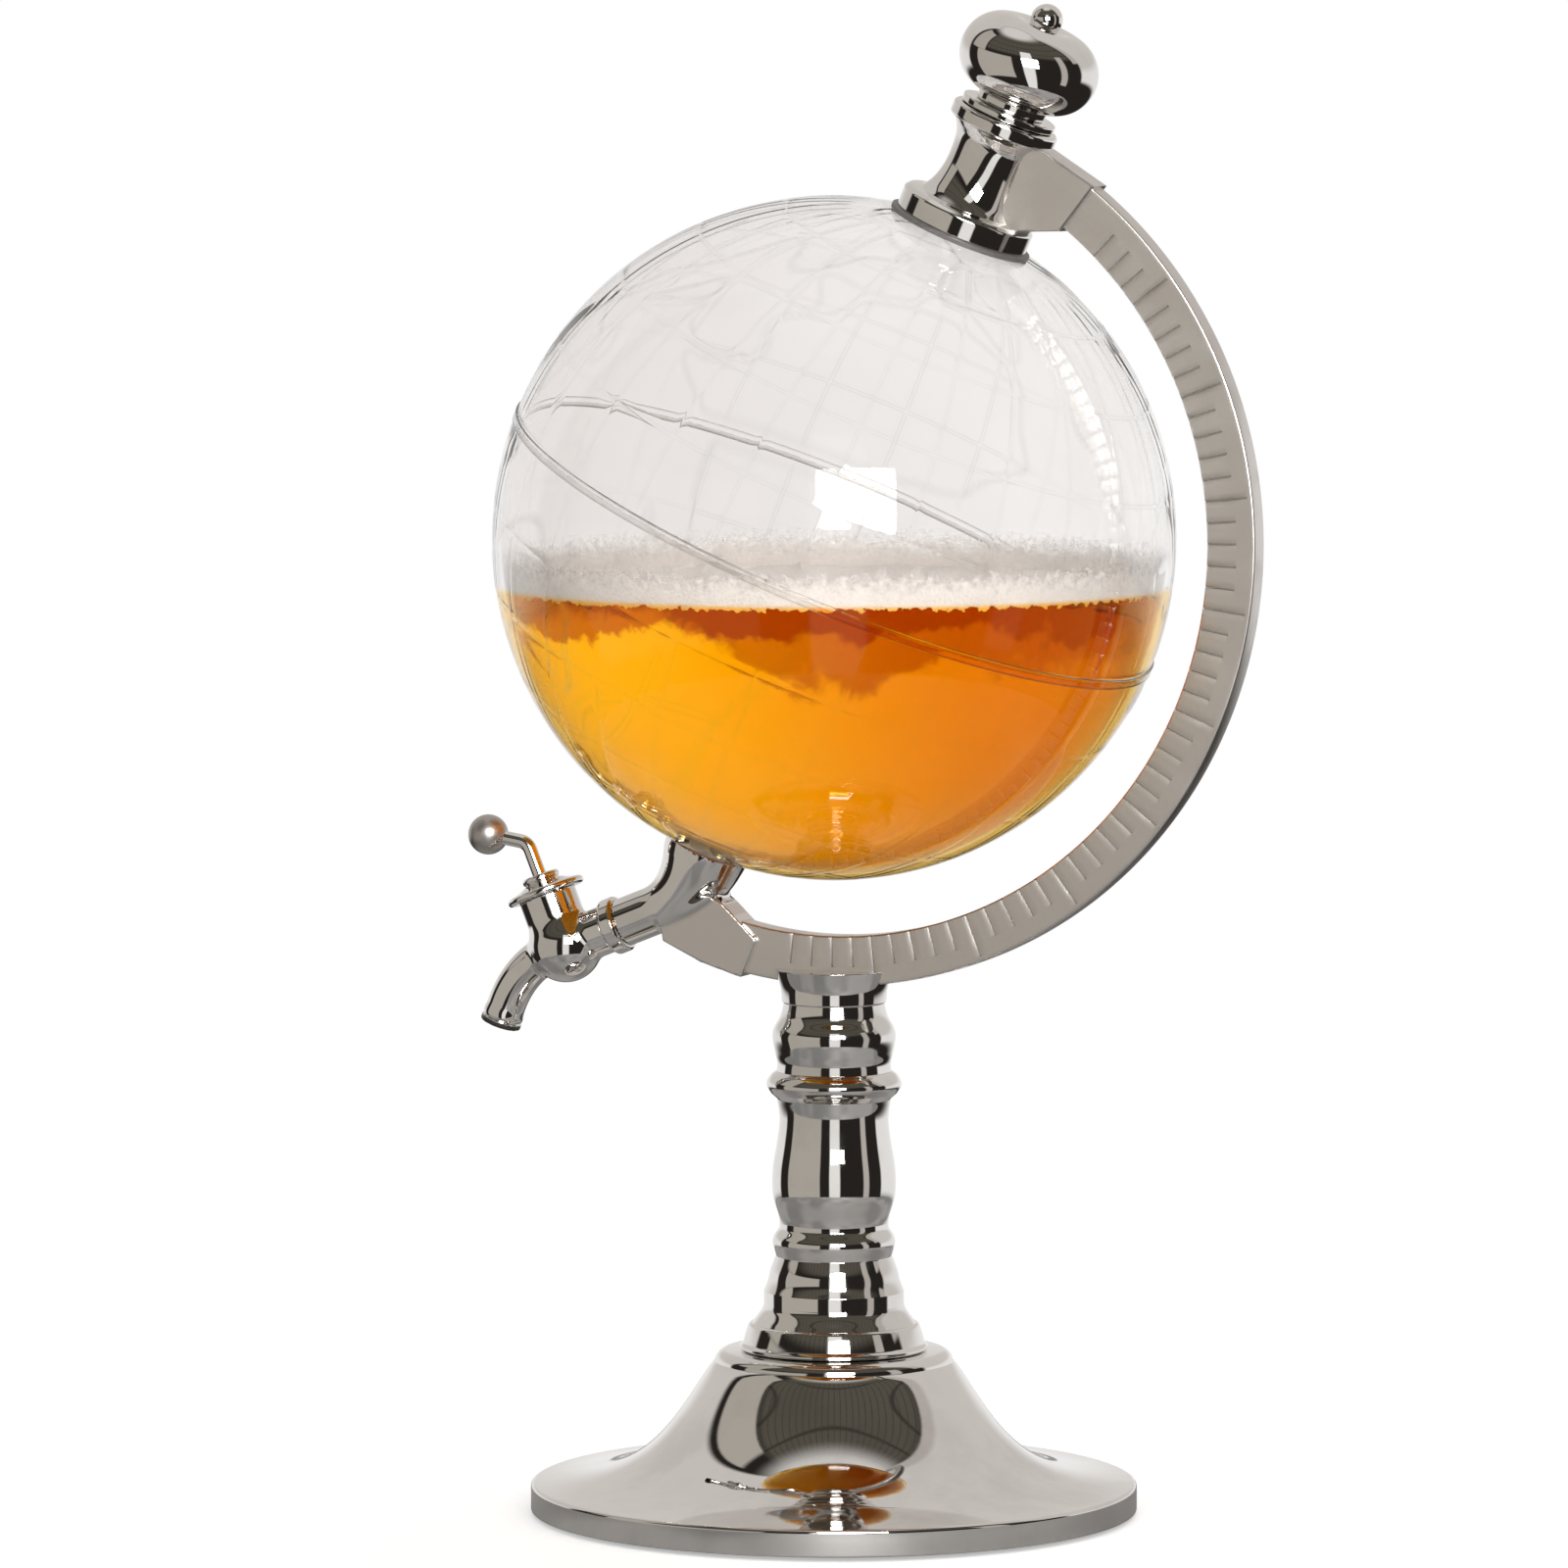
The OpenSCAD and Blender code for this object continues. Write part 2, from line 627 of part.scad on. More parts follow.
module arc_set_screws() {
    color("dimgray") arc_screw_places() translate([0, 0, arc_t / 2 - arc_screw_grip]) difference() {
        cylinder(d = arc_screw_d, h = arc_screw_grip + (arm_t - arc_t) / 2);
        translate([0, 0, arc_screw_grip]) cylinder(d = arc_screw_d / 2, h = arm_t, $fn = 6);
    }
}

module arc_sockets() {
    arc_bar(arc_from - 0.2, arc_to + 0.2, locate_fit);
    arc_screw_places() cylinder(d = arc_screw_d + 2 * locate_fit, h = arm_t);
}

// Corner of an arm at an angle from the axis, across it and along it
function arm_corner(r, angle) = [r * sin(angle), r * cos(angle)];

module upper_collar() {
    waist_r = waist_d / 2;
    ring_r = top_ring_d / 2;
    ring_low = collar_top - top_ring_h;
    skirt_high = globe_r + skirt_top;
    ledge = skirt_d / 2 - 4.6;
    neck_room = globe_r + filler_neck_h + locate_fit;
    arm_root = waist_r - 1;
    color("silver") difference() {
        union() {
            on_axis() turned(concat([[0, globe_r - cut], [0, collar_top], [ring_r - 0.8, collar_top],
                [ring_r, collar_top - 0.8], [ring_r, ring_low + 0.6], [ring_r - 0.6, ring_low]],
                curve([[ring_r - 1.4, ring_low], [waist_r + 1.6, ring_low - 2],
                    [waist_r + 0.3, ring_low - 5.4],
                    [waist_r, (ring_low + skirt_high) / 2], [waist_r + 0.6, skirt_high + 7],
                    [waist_r + 2, skirt_high + 3], [ledge, skirt_high + 0.4]]),
                [[skirt_d / 2 - 1.2, skirt_high], [skirt_d / 2, skirt_high - 1.2],
                [skirt_d / 2, on_sphere(globe_r, skirt_d / 2) - cut]]));
            arm_plate([[arm_root, skirt_high - 0.4], [arm_root, ring_low + 1], [ring_r - 1, ring_low + 1],
                arm_corner(arc_outer_r + socket_wall, arc_upper_end),
                arm_corner(arc_inner_r - socket_wall, arc_upper_end), [skirt_d / 2 - 2.6, skirt_high - 0.4]]);
        }
        arc_sockets();
        on_axis() {
            sphere(r = gasket_r, $fn = 144);
            cylinder(r = filler_bore_r, h = collar_top + cut);
            cylinder(r = filler_neck_r + locate_fit, h = neck_room);
        }
    }
}

module collar_gasket() {
    color("#333333") on_axis() rotate_extrude() intersection() {
        difference() {
            circle(gasket_r, $fn = 288);
            circle(globe_r, $fn = 288);
        }
        translate([filler_neck_r + 1, 0])
            square([skirt_d / 2 + gasket_lip - filler_neck_r - 1, 2 * globe_r]);
    }
}

module globe_wall_outline() {
    intersection() {
        difference() {
            circle(globe_r, $fn = 288);
            circle(globe_inner_r, $fn = 288);
        }
        translate([0, -2 * globe_r]) square([2 * globe_r, 4 * globe_r]);
    }
}

module globe_upper_half() {
    lap_r = globe_r - globe_wall / 2;
    low = -seam_band_h / 2;
    neck_in = filler_neck_r - neck_wall;
    neck_low = on_sphere(globe_inner_r, neck_in);
    color("whitesmoke", 0.4) on_axis() rotate_extrude($fn = 144) {
        difference() {
            union() {
                globe_wall_outline();
                translate([lap_r, low]) square([globe_r + seam_band_proud - lap_r, seam_band_h]);
            }
            translate([0, low - 2 * globe_r]) square([2 * globe_r, 2 * globe_r]);
            translate([0, -globe_r]) square([lap_r, globe_r]);
            square([neck_in, 2 * globe_r]);
        }
        translate([neck_in, neck_low]) square([neck_wall, globe_r + filler_neck_h - neck_low]);
    }
}

module globe_lower_half() {
    lap_r = globe_r - globe_wall / 2 - locate_fit;
    low = -seam_band_h / 2;
    neck_in = outlet_neck_r - neck_wall;
    neck_low = on_sphere(globe_inner_r, neck_in);
    color("whitesmoke", 0.4) on_axis() difference() {
        rotate_extrude($fn = 144) {
            difference() {
                globe_wall_outline();
                square([2 * globe_r, 2 * globe_r]);
                translate([lap_r, low]) square([globe_r, globe_r]);
                translate([0, -2 * globe_r]) square([neck_in, 2 * globe_r]);
            }
            translate([neck_in, -globe_r - outlet_neck_h])
                square([neck_wall, globe_r + outlet_neck_h - neck_low]);
        }
        seal_groove(outlet_neck_r, neck_seal_r, -globe_r - outlet_neck_h / 2);
    }
}

module outlet_gasket() {
    color("#333333") on_axis() rotate_extrude() intersection() {
        difference() {
            circle(gasket_r, $fn = 288);
            circle(globe_r, $fn = 288);
        }
        translate([outlet_neck_r + 0.5, -2 * globe_r])
            square([elbow_mouth_d / 2 - outlet_neck_r - 0.8, 2 * globe_r]);
    }
}

module outlet_seal_ring() {
    color("#333333") on_axis() seal(outlet_neck_r, neck_seal_r, -globe_r - outlet_neck_h / 2);
}

module elbow_passage() {
    at_corner() {
        translate([-elbow_tangent, 0, elbow_bend_r]) rotate([90, 0, 0]) rotate([0, 0, -90])
            rotate_extrude(angle = elbow_turn) translate([elbow_bend_r, 0]) circle(passage_r);
        translate([-elbow_tangent + cut / 2, 0, 0]) rotate([0, -90, 0])
            cylinder(r = passage_r + passage_step, h = elbow_reach - elbow_tangent + cut);
    }
    on_axis() translate([0, 0, -globe_r - elbow_drop + elbow_tangent - cut / 2])
        cylinder(r = passage_r + passage_step, h = globe_r);
    on_axis() translate([0, 0, -globe_r - outlet_neck_h - locate_fit])
        cylinder(r = outlet_neck_r + locate_fit, h = outlet_neck_h + globe_wall);
}

module elbow_horn() {
    rings = [for (k = [0:elbow_steps]) elbow_ring(elbow_len * k / elbow_steps)];
    n = elbow_sides;
    last = elbow_steps * n;
    at_corner() polyhedron(points = [for (r = rings) each r],
        faces = concat(
            [[for (k = [0:n - 1]) k]],
            [for (i = [0:elbow_steps - 1], k = [0:n - 1])
                [i * n + k, (i + 1) * n + k, (i + 1) * n + (k + 1) % n]],
            [for (i = [0:elbow_steps - 1], k = [0:n - 1])
                [i * n + k, (i + 1) * n + (k + 1) % n, i * n + (k + 1) % n]],
            [[for (k = [n - 1:-1:0]) last + k]]));
}

module outlet_elbow() {
    arm_high = 2 * socket_wall - on_sphere(arc_inner_r, elbow_arm_reach);
    arm_low = -on_sphere(arc_outer_r, elbow_arm_reach) - 1.3 * socket_wall;
    mouth_r = elbow_mouth_d / 2;
    color("silver") difference() {
        union() {
            elbow_horn();
            at_corner() translate([coupling_len / 2 - elbow_reach + cut, 0, 0]) rotate([0, -90, 0])
                cylinder(r = spigot_r, h = coupling_len / 2 + cut);
            arm_plate([[0, arm_high + 4], [mouth_r - 0.6, arm_high - 0.6], [elbow_arm_reach, arm_high],
                [elbow_arm_reach, arm_low], [elbow_arm_reach / 2, arm_low - 1.4], [0, arm_low - 0.8],
                [-mouth_r / 2, arm_low + 9]]);
        }
        arc_sockets();
        elbow_passage();
        on_axis() sphere(r = gasket_r, $fn = 144);
    }
}

module tap_coupling() {
    edge = 0.8;
    r = coupling_d / 2;
    h = coupling_len;
    color("silver") at_corner() translate([h / 2 - elbow_reach, 0, 0]) rotate([0, -90, 0]) difference() {
        turned([[0, 0], [r - edge, 0], [r, edge], [r, h - edge], [r - edge, h], [0, h]]);
        translate([0, 0, -cut]) cylinder(r = spigot_r + locate_fit, h = h + 2 * cut);
    }
}

// The spout's bend and its straight mouth, which is a little wider
module spout_run(r, tip) {
    translate([-spout_lead, 0, -spout_bend_r]) {
        rotate([90, 0, 0]) rotate([0, 0, 90]) rotate_extrude(angle = spout_turn)
            translate([spout_bend_r, 0]) circle(r);
        rotate([0, -spout_turn, 0]) translate([spout_lip, 0, spout_bend_r]) rotate([0, -90, 0])
            cylinder(r = r + spout_lip, h = tip + spout_lip);
    }
}

module tap_body() {
    pipe_r = elbow_end_d / 2;
    pipe_len = valve_reach - coupling_len / 2;
    color("silver") at_valve() difference() {
        union() {
            sphere(d = chamber_d);
            cylinder(d = barrel_d, h = barrel_h);
            rotate([0, 90, 0]) {
                cylinder(r = pipe_r, h = pipe_len);
                cylinder(r = spigot_r, h = valve_reach - locate_fit);
            }
            spout_run(spout_d / 2, spout_tip);
        }
        rotate([0, 90, 0]) cylinder(r = passage_r, h = valve_reach + cut);
        spout_run(passage_r, spout_tip + cut);
        translate([0, 0, -plug_depth]) cylinder(r = plug_r, h = plug_depth + barrel_h + cut);
    }
}

module tap_bonnet() {
    r = bonnet_d / 2;
    tier_r = bonnet_tier_d / 2;
    z = barrel_h;
    flange_top = z + bonnet_flange_h;
    cone_top = flange_top + bonnet_tier_h / 2;
    edge = 0.6;
    color("silver") at_valve() difference() {
        union() {
            turned([[0, z], [r - edge, z], [r, z + edge], [r, flange_top - edge], [r - edge, flange_top],
                [tier_r + 3, flange_top + edge], [tier_r - edge, cone_top], [tier_r, cone_top + edge],
                [tier_r, bonnet_top - edge], [tier_r - edge, bonnet_top], [0, bonnet_top]]);
            translate([0, 0, plug_top + bonnet_plug_gap])
                cylinder(r = plug_r - locate_fit, h = z - plug_top);
        }
        translate([0, 0, plug_top - cut])
            cylinder(r = lever_r + running_fit, h = bonnet_top - plug_top + 2 * cut);
    }
}

module valve_plug() {
    color("goldenrod") at_valve() difference() {
        translate([0, 0, plug_end_gap - plug_depth])
            cylinder(r = plug_r - running_fit, h = plug_top + plug_depth - plug_end_gap);
        rotate([0, 90, 0]) cylinder(r = passage_r, h = 2 * plug_d, center = true);
        translate([0, 0, plug_top - lever_socket]) cylinder(r = lever_r + locate_fit, h = lever_socket + cut);
        for (z = plug_seals) seal_groove(plug_r - running_fit, plug_seal_r, z);
    }
}

module plug_seal_rings() {
    color("#333333") at_valve() for (z = plug_seals) seal(plug_r - running_fit, plug_seal_r, z);
}

module lever_rod() {
    straight_low = plug_top - lever_socket + locate_fit;
    straight_top = lever_h - lever_tangent;
    color("silver") at_valve() {
        translate([0, 0, straight_low]) cylinder(r = lever_r, h = straight_top - straight_low + lever_lap);
        translate([-lever_bend_r, 0, straight_top]) rotate([90, 0, 0])
            rotate_extrude(angle = lever_turn) translate([lever_bend_r, 0]) circle(lever_r + lever_swell);
        translate([0, 0, lever_h]) rotate([0, -lever_turn, 0]) translate([0, 0, lever_tangent - lever_lap])
            cylinder(r = lever_r, h = lever_len - lever_tangent + lever_lap);
    }
}

module lever_ball() {
    color("silver") at_valve() translate([0, 0, lever_h]) rotate([0, -lever_turn, 0]) difference() {
        translate([0, 0, lever_len]) sphere(d = ball_d);
        cylinder(r = lever_r + locate_fit, h = lever_len + locate_fit);
    }
}

stopper_low = cap_z - stopper_len;
stopper_ring_z = cap_z - stopper_len / 2;

module cap_stopper() {
    color("silver") on_axis() difference() {
        union() {
            translate([0, 0, stopper_low]) cylinder(r = stopper_r, h = stopper_len + cap_flange_h);
            translate([0, 0, cap_z]) cylinder(d = cap_flange_d, h = cap_flange_h);
        }
        translate([0, 0, stopper_low + stopper_floor])
            cylinder(d = finial_stud_d + 2 * locate_fit, h = stopper_len + cap_flange_h);
        seal_groove(stopper_r, stopper_ring_r, stopper_ring_z);
    }
}

module stopper_seal_ring() {
    color("#333333") on_axis() seal(stopper_r, stopper_ring_r, stopper_ring_z);
}

module cap_knob() {
    color("silver") on_axis() difference() {
        rotate_extrude() {
            intersection() {
                translate([knob_centre_r, knob_mid_z]) circle(knob_roll_r, $fn = 96);
                translate([0, knob_z]) square([knob_d, 2 * knob_d]);
            }
            translate([0, knob_z]) square([knob_foot_d / 2, knob_foot_h + knob_roll_r]);
        }
        translate([0, 0, knob_z - cut]) cylinder(d = finial_stud_d + 2 * locate_fit, h = knob_d);
        translate([0, 0, dimple_z - finial_seat]) cylinder(r = finial_shank_r + locate_fit, h = knob_d);
    }
}

module cap_finial() {
    color("silver") on_axis() {
        translate([0, 0, stopper_low + stopper_floor + locate_fit])
            cylinder(d = finial_stud_d, h = dimple_z - stopper_low - stopper_floor);
        translate([0, 0, dimple_z - finial_seat])
            cylinder(r = finial_shank_r, h = finial_h - finial_r + finial_seat);
        translate([0, 0, dimple_z + finial_h - finial_r]) sphere(r = finial_r);
    }
}

foot();
base_plate();
base_plate_screws();
base_pad();
stem_ring();
stem_column();
arc_saddle();
tie_rod();
tie_rod_nut();
tie_rod_washer();
meridian_arc();
arc_set_screws();
upper_collar();
collar_gasket();
globe_upper_half();
globe_lower_half();
outlet_gasket();
outlet_elbow();
outlet_seal_ring();
tap_coupling();
tap_body();
tap_bonnet();
valve_plug();
plug_seal_rings();
lever_rod();
lever_ball();
cap_stopper();
stopper_seal_ring();
cap_knob();
cap_finial();
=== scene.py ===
import math
from types import SimpleNamespace

import bpy
import numpy as np
from bpy.props import FloatProperty, FloatVectorProperty, PointerProperty
from mathutils import Matrix, Vector


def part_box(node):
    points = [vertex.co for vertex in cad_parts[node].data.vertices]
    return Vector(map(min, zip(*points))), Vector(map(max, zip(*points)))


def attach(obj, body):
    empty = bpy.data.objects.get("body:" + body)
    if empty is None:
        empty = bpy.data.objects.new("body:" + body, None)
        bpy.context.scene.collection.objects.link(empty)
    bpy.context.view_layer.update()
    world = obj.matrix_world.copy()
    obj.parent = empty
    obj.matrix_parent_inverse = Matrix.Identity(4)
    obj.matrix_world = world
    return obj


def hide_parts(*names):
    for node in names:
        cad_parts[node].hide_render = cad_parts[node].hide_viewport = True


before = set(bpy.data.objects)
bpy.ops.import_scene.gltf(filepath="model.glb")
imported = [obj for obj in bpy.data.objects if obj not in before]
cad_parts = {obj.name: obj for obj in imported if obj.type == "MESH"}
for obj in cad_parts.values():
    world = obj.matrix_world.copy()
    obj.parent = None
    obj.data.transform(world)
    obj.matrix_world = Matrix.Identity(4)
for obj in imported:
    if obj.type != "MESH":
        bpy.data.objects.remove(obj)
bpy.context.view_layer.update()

bl_info = {
    "name": "Globe Drink Dispenser",
    "version": (1, 0, 0),
    "blender": (4, 5, 0),
    "location": "View3D > Sidebar > Dispenser",
    "description": "Builds the looks of a globe drink dispenser on a turned stand",
    "category": "Object",
}

# Shapes are worked out in millimetres and put into the meshes in metres
MM = 0.001
FOOT_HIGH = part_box("foot")[1]
SADDLE_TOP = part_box("arc_saddle")[1][2]


def length(name, value, description):
    """A length in metres from a value in millimetres."""
    return FloatProperty(name=name, description=description, default=value * MM, min=0.1 * MM,
                         unit="LENGTH", subtype="DISTANCE", precision=5)


def angle(name, degrees, description):
    """An angle property from a value in degrees."""
    return FloatProperty(name=name, description=description, default=math.radians(degrees),
                         unit="ROTATION", subtype="ANGLE")


def colour(name, value, description):
    """A linear colour property."""
    return FloatVectorProperty(name=name, description=description, default=value, size=3,
                               min=0.0, max=1.0, subtype="COLOR")


class DispenserSizes(bpy.types.PropertyGroup):
    """Sizes of the pieces"""

    globe_radius: length("Globe radius", 100, "Outside radius of the globe")
    globe_wall: length("Globe wall", 2.6, "Wall of the globe")
    globe_height: length("Globe height", 287, "Height of the globe's centre")
    lean: angle("Lean", 23.5, "Lean of the globe's axis from the vertical")
    relief: length("Relief", 0.15, "Height of the raised land on the globe")
    ridge: length("Grid ridge", 0.07, "Height of the raised grid lines on the globe")
    grid_step: angle("Grid step", 15, "Angle between two grid lines")
    map_turn: angle("Map turn", 96, "Turn of the raised map about the globe's axis")
    seam_proud: length("Seam band", 0.5, "How far the seam band stands proud of the globe")
    liquid_depth: length("Liquid level", 14, "Depth of the liquid's level below the globe's centre")
    foam_depth: length("Foam", 12, "Depth of the foam on the liquid")
    arc_inner: length("Arc radius", 116.5, "Inner radius of the meridian arc")
    arc_width: length("Arc width", 14.6, "Radial width of the meridian arc")
    arc_thickness: length("Arc thickness", 8.4, "Thickness of the meridian arc")
    tick_step: angle("Tick step", 3, "Angle between two graduation marks")
    tick_depth: length("Tick depth", 0.2, "Depth of a graduation mark")
    foot_radius: length("Foot radius", FOOT_HIGH[0] / MM, "Radius of the foot's rim")
    foot_height: length("Foot height", FOOT_HIGH[2] / MM, "Height of the foot's shoulder")
    bell_radius: length("Bell radius", 35, "Radius of the foot's bell at its shoulder")
    lever_radius: length("Lever radius", 2.1, "Radius of the lever rod")
    ball_radius: length("Ball radius", 6, "Radius of the lever's ball")
    knob_roll: length("Knob roll", 11.8, "Section radius of the knob's rolled rim")


class DispenserColours(bpy.types.PropertyGroup):
    """Colours of the finishes"""

    chrome: colour("Chrome", (0.80, 0.785, 0.765), "Polished metal")
    arc_metal: colour("Arc metal", (0.67, 0.64, 0.61), "Satin metal of the arc and its arms")
    ball_metal: colour("Ball metal", (0.50, 0.48, 0.46), "Satin metal of the lever's ball")
    # Painted light: below the level the clear shell takes the drink's colour, as the drink's light shines
    # through
    shell: colour("Shell", (1.0, 0.64, 0.16), "Clear shell round the drink, which shines through it")
    mist: colour("Misted shell", (0.955, 0.94, 0.93), "Clear shell above the drink, with a thin mist on it")
    # Painted shade: the mist's colour on the shell's darker -X side
    mist_shade: colour("Shaded mist", (0.895, 0.872, 0.858), "Misted shell on its shaded side")
    # Painted shade: the clear shell greys on the slopes of its relief and at the seam band's edges
    shell_slope_shade: colour("Shell edges", (0.62, 0.61, 0.60), "Clear shell on the slopes of its relief")
    # Painted shade: the drink has a lit colour and a shaded colour, blended across it from -X to +X
    drink: colour("Drink", (1.0, 0.98, 0.04), "Drink in the globe on its bright side")
    drink_shade: colour("Shaded drink", (0.58, 0.23, 0.008), "Drink in the globe on its other side")
    # Painted shade under the foam: the drink's ragged band just below it is darker
    drink_foam_shade: colour("Deep drink", (0.33, 0.065, 0.002), "Drink in the ragged band below the foam")
    foam: colour("Foam", (0.53, 0.50, 0.475), "Foam on the drink")
    rubber: colour("Rubber", (0.022, 0.021, 0.020), "Sealing rings and pad")
    gasket: colour("Gasket", (0.11, 0.105, 0.10), "Gaskets at the globe's poles")
    plate: colour("Base plate", (0.05, 0.05, 0.052), "Painted base plate")
    steel: colour("Plain steel", (0.46, 0.45, 0.44), "Hidden fasteners and rod")
    brass: colour("Brass", (0.70, 0.49, 0.20), "Valve plug")
    floor: colour("Floor", (0.86, 0.855, 0.85), "Pale floor")
    wall: colour("Wall panel", (0.47, 0.435, 0.39), "Warm panel that the metal reflects on the left")
    side_wall: colour("Side panel", (0.52, 0.48, 0.45), "Pale panel that the metal reflects on the right")
    strip: colour("Light strip", (0.92, 0.91, 0.89), "Tall strip that the metal reflects in front")
    backdrop: colour("Backdrop", (0.9, 0.89, 0.88), "Backdrop that the metal reflects near the floor")
    backdrop_high: colour("High backdrop", (0.67, 0.635, 0.605), "Upper part of the backdrop")
    room: colour("Dark room", (0.022, 0.019, 0.017), "Unlit part of the studio in front of the object")
    ceiling: colour("Ceiling cloth", (0.10, 0.092, 0.074), "Ribbed cloth that the metal reflects above")


# Frames

class Place:
    """A frame in the arc's plane: local points are turned about Y by an angle and moved to an origin."""

    def __init__(self, degrees, origin):
        self.degrees = degrees
        self.origin = np.asarray(origin, float)

    def put(self, points):
        """x' = x cos a + z sin a and z' = z cos a - x sin a, then the origin is added."""
        a = math.radians(self.degrees)
        p = np.asarray(points, float)
        turned_points = np.stack([p[..., 0] * math.cos(a) + p[..., 2] * math.sin(a), p[..., 1],
                                  p[..., 2] * math.cos(a) - p[..., 0] * math.sin(a)], -1)
        return turned_points + self.origin

    def at(self, x, z, turn=0):
        """A frame at a point of this one, turned further."""
        return Place(self.degrees + turn, self.put([x, 0, z]))


UPRIGHT = Place(0, (0, 0, 0))

# Angles in degrees: the tap's line below the level, and the arc's ends short of the globe's poles
TAP_DROP = 22
ARC_TOP_GAP = 15
ARC_LOW_GAP = 12.4

# Lengths in millimetres along the drink's way: to the elbow's corner, on to the coupling's middle, the
# coupling itself, and from its middle to the valve
ELBOW_DROP = 16.7
ELBOW_REACH = 24.4
COUPLING_LENGTH = 5
VALVE_REACH = 17.6


def sizes_in_mm(context):
    """The sizes as plain numbers: lengths in millimetres, angles in degrees."""
    group = context.scene.dispenser_sizes
    angles = ("lean", "grid_step", "map_turn", "tick_step")
    plain = lambda key, value: math.degrees(value) if key in angles else value / MM
    return SimpleNamespace(**{key: plain(key, getattr(group, key)) for key in group.__annotations__})


def axis_place(s):
    """The globe's frame: its centre, with Z along its axis."""
    return Place(s.lean, (0, 0, s.globe_height))


def corner_place(s):
    """The elbow's frame: where the axis meets the tap's line, with the flow along -X."""
    return axis_place(s).at(0, -s.globe_radius - ELBOW_DROP, -s.lean - TAP_DROP)


def valve_place(s):
    """The valve's frame, with the spindle along Z."""
    return corner_place(s).at(-ELBOW_REACH - VALVE_REACH, 0)


# Outlines

def smooth_line(points, steps=8):
    """A curve through points: a cubic between each two, whose slope at a point is half the step
    between its neighbours."""
    p = np.asarray(points, float)
    q = np.vstack([p[:1], p, p[-1:]])
    a, b, c, d = (q[i:len(q) - 3 + i, None, :] for i in range(4))
    t = np.linspace(0, 1, steps, endpoint=False)[None, :, None]
    bend, twist = 2 * a - 5 * b + 4 * c - d, 3 * b - a - 3 * c + d
    curve = 0.5 * (2 * b + (c - a) * t + bend * t ** 2 + twist * t ** 3)
    return np.vstack([curve.reshape(-1, p.shape[1]), p[-1:]])


def round_line(centre, radius, start, end, steps):
    """A piece of a circle in the outline's plane, from one angle to another in degrees."""
    w = np.radians(np.linspace(start, end, steps))
    return np.stack([centre[0] + radius * np.cos(w), centre[1] + radius * np.sin(w)], -1)


def joined(*parts):
    """Outline pieces in one line, without doubled points."""
    p = np.vstack([np.atleast_2d(np.asarray(part, float)) for part in parts])
    keep = np.append(True, np.linalg.norm(np.diff(p, axis=0), axis=1) > 1e-4)
    return p[keep]


def eased(points, radius, closed, steps=4, least=14):
    """An outline whose corners sharper than a least angle become quadratic curves that leave the sides
    at a radius from the corner, with a support point just outside them."""
    longest, shortest, support = 0.4, 0.02, 1.2
    p = np.asarray(points, float)
    before, after = np.roll(p, 1, axis=0), np.roll(p, -1, axis=0)
    out = []
    t = np.linspace(0, 1, steps + 1)[:, None]
    for k, (a, b, c) in enumerate(zip(before, p, after)):
        if not closed and k in (0, len(p) - 1):
            out.append(b[None])
            continue
        u, v = a - b, c - b
        lu, lv = np.linalg.norm(u), np.linalg.norm(v)
        turn = math.degrees(math.acos(np.clip(-np.dot(u, v) / (lu * lv), -1, 1)))
        cut = min(radius, longest * lu, longest * lv)
        if turn < least or cut < shortest:
            out.append(b[None])
            continue
        u, v = u / lu * cut, v / lv * cut
        bow = (1 - t) ** 2 * (b + u) + 2 * t * (1 - t) * b + t ** 2 * (b + v)
        out.append(np.vstack([b + support * u, bow, b + support * v]))
    return np.vstack(out)


# Surfaces

def grid_quads(rows, columns, close_rows=False):
    """Quads between neighbouring vertices of a grid that is counted row by row, its columns closed."""
    i, j = np.meshgrid(np.arange(rows if close_rows else rows - 1), np.arange(columns), indexing="ij")
    i2, j2 = (i + 1) % rows, (j + 1) % columns
    quads = [i * columns + j, i * columns + j2, i2 * columns + j2, i2 * columns + j]
    return np.stack(quads, -1).reshape(-1, 4)


def closed_by_fan(verts, faces, centre, first, sides, low):
    """A surface with a vertex at a centre added, and a fan from it to the ring that starts at a vertex."""
    pole = len(verts)
    near = first + np.arange(sides)
    far = first + (np.arange(sides) + 1) % sides
    fan = np.stack([np.full(sides, pole), far if low else near, near if low else far], -1)
    return np.vstack([verts, [centre]]), faces + fan.tolist()


def turned(outline, sides, closed=False):
    """A lathe surface: the outline's point (r, z) at the angle w is (r cos w, r sin w, z). An end on the
    axis is one vertex with a fan. A closed outline runs up outside and down inside."""
    p = np.asarray(outline, float)
    low, high = (not closed and p[0, 0] < 1e-6), (not closed and p[-1, 0] < 1e-6)
    rings = p[int(low):len(p) - int(high)]
    w = np.linspace(0, 2 * math.pi, sides, endpoint=False)
    verts = np.stack([rings[:, :1] * np.cos(w), rings[:, :1] * np.sin(w),
                      np.repeat(rings[:, 1:], sides, 1)], -1).reshape(-1, 3)
    faces = grid_quads(len(rings), sides, closed).tolist()
    if low:
        verts, faces = closed_by_fan(verts, faces, [0, 0, p[0, 1]], 0, sides, True)
    if high:
        verts, faces = closed_by_fan(verts, faces, [0, 0, p[-1, 1]], (len(rings) - 1) * sides, sides, False)
    return verts, faces


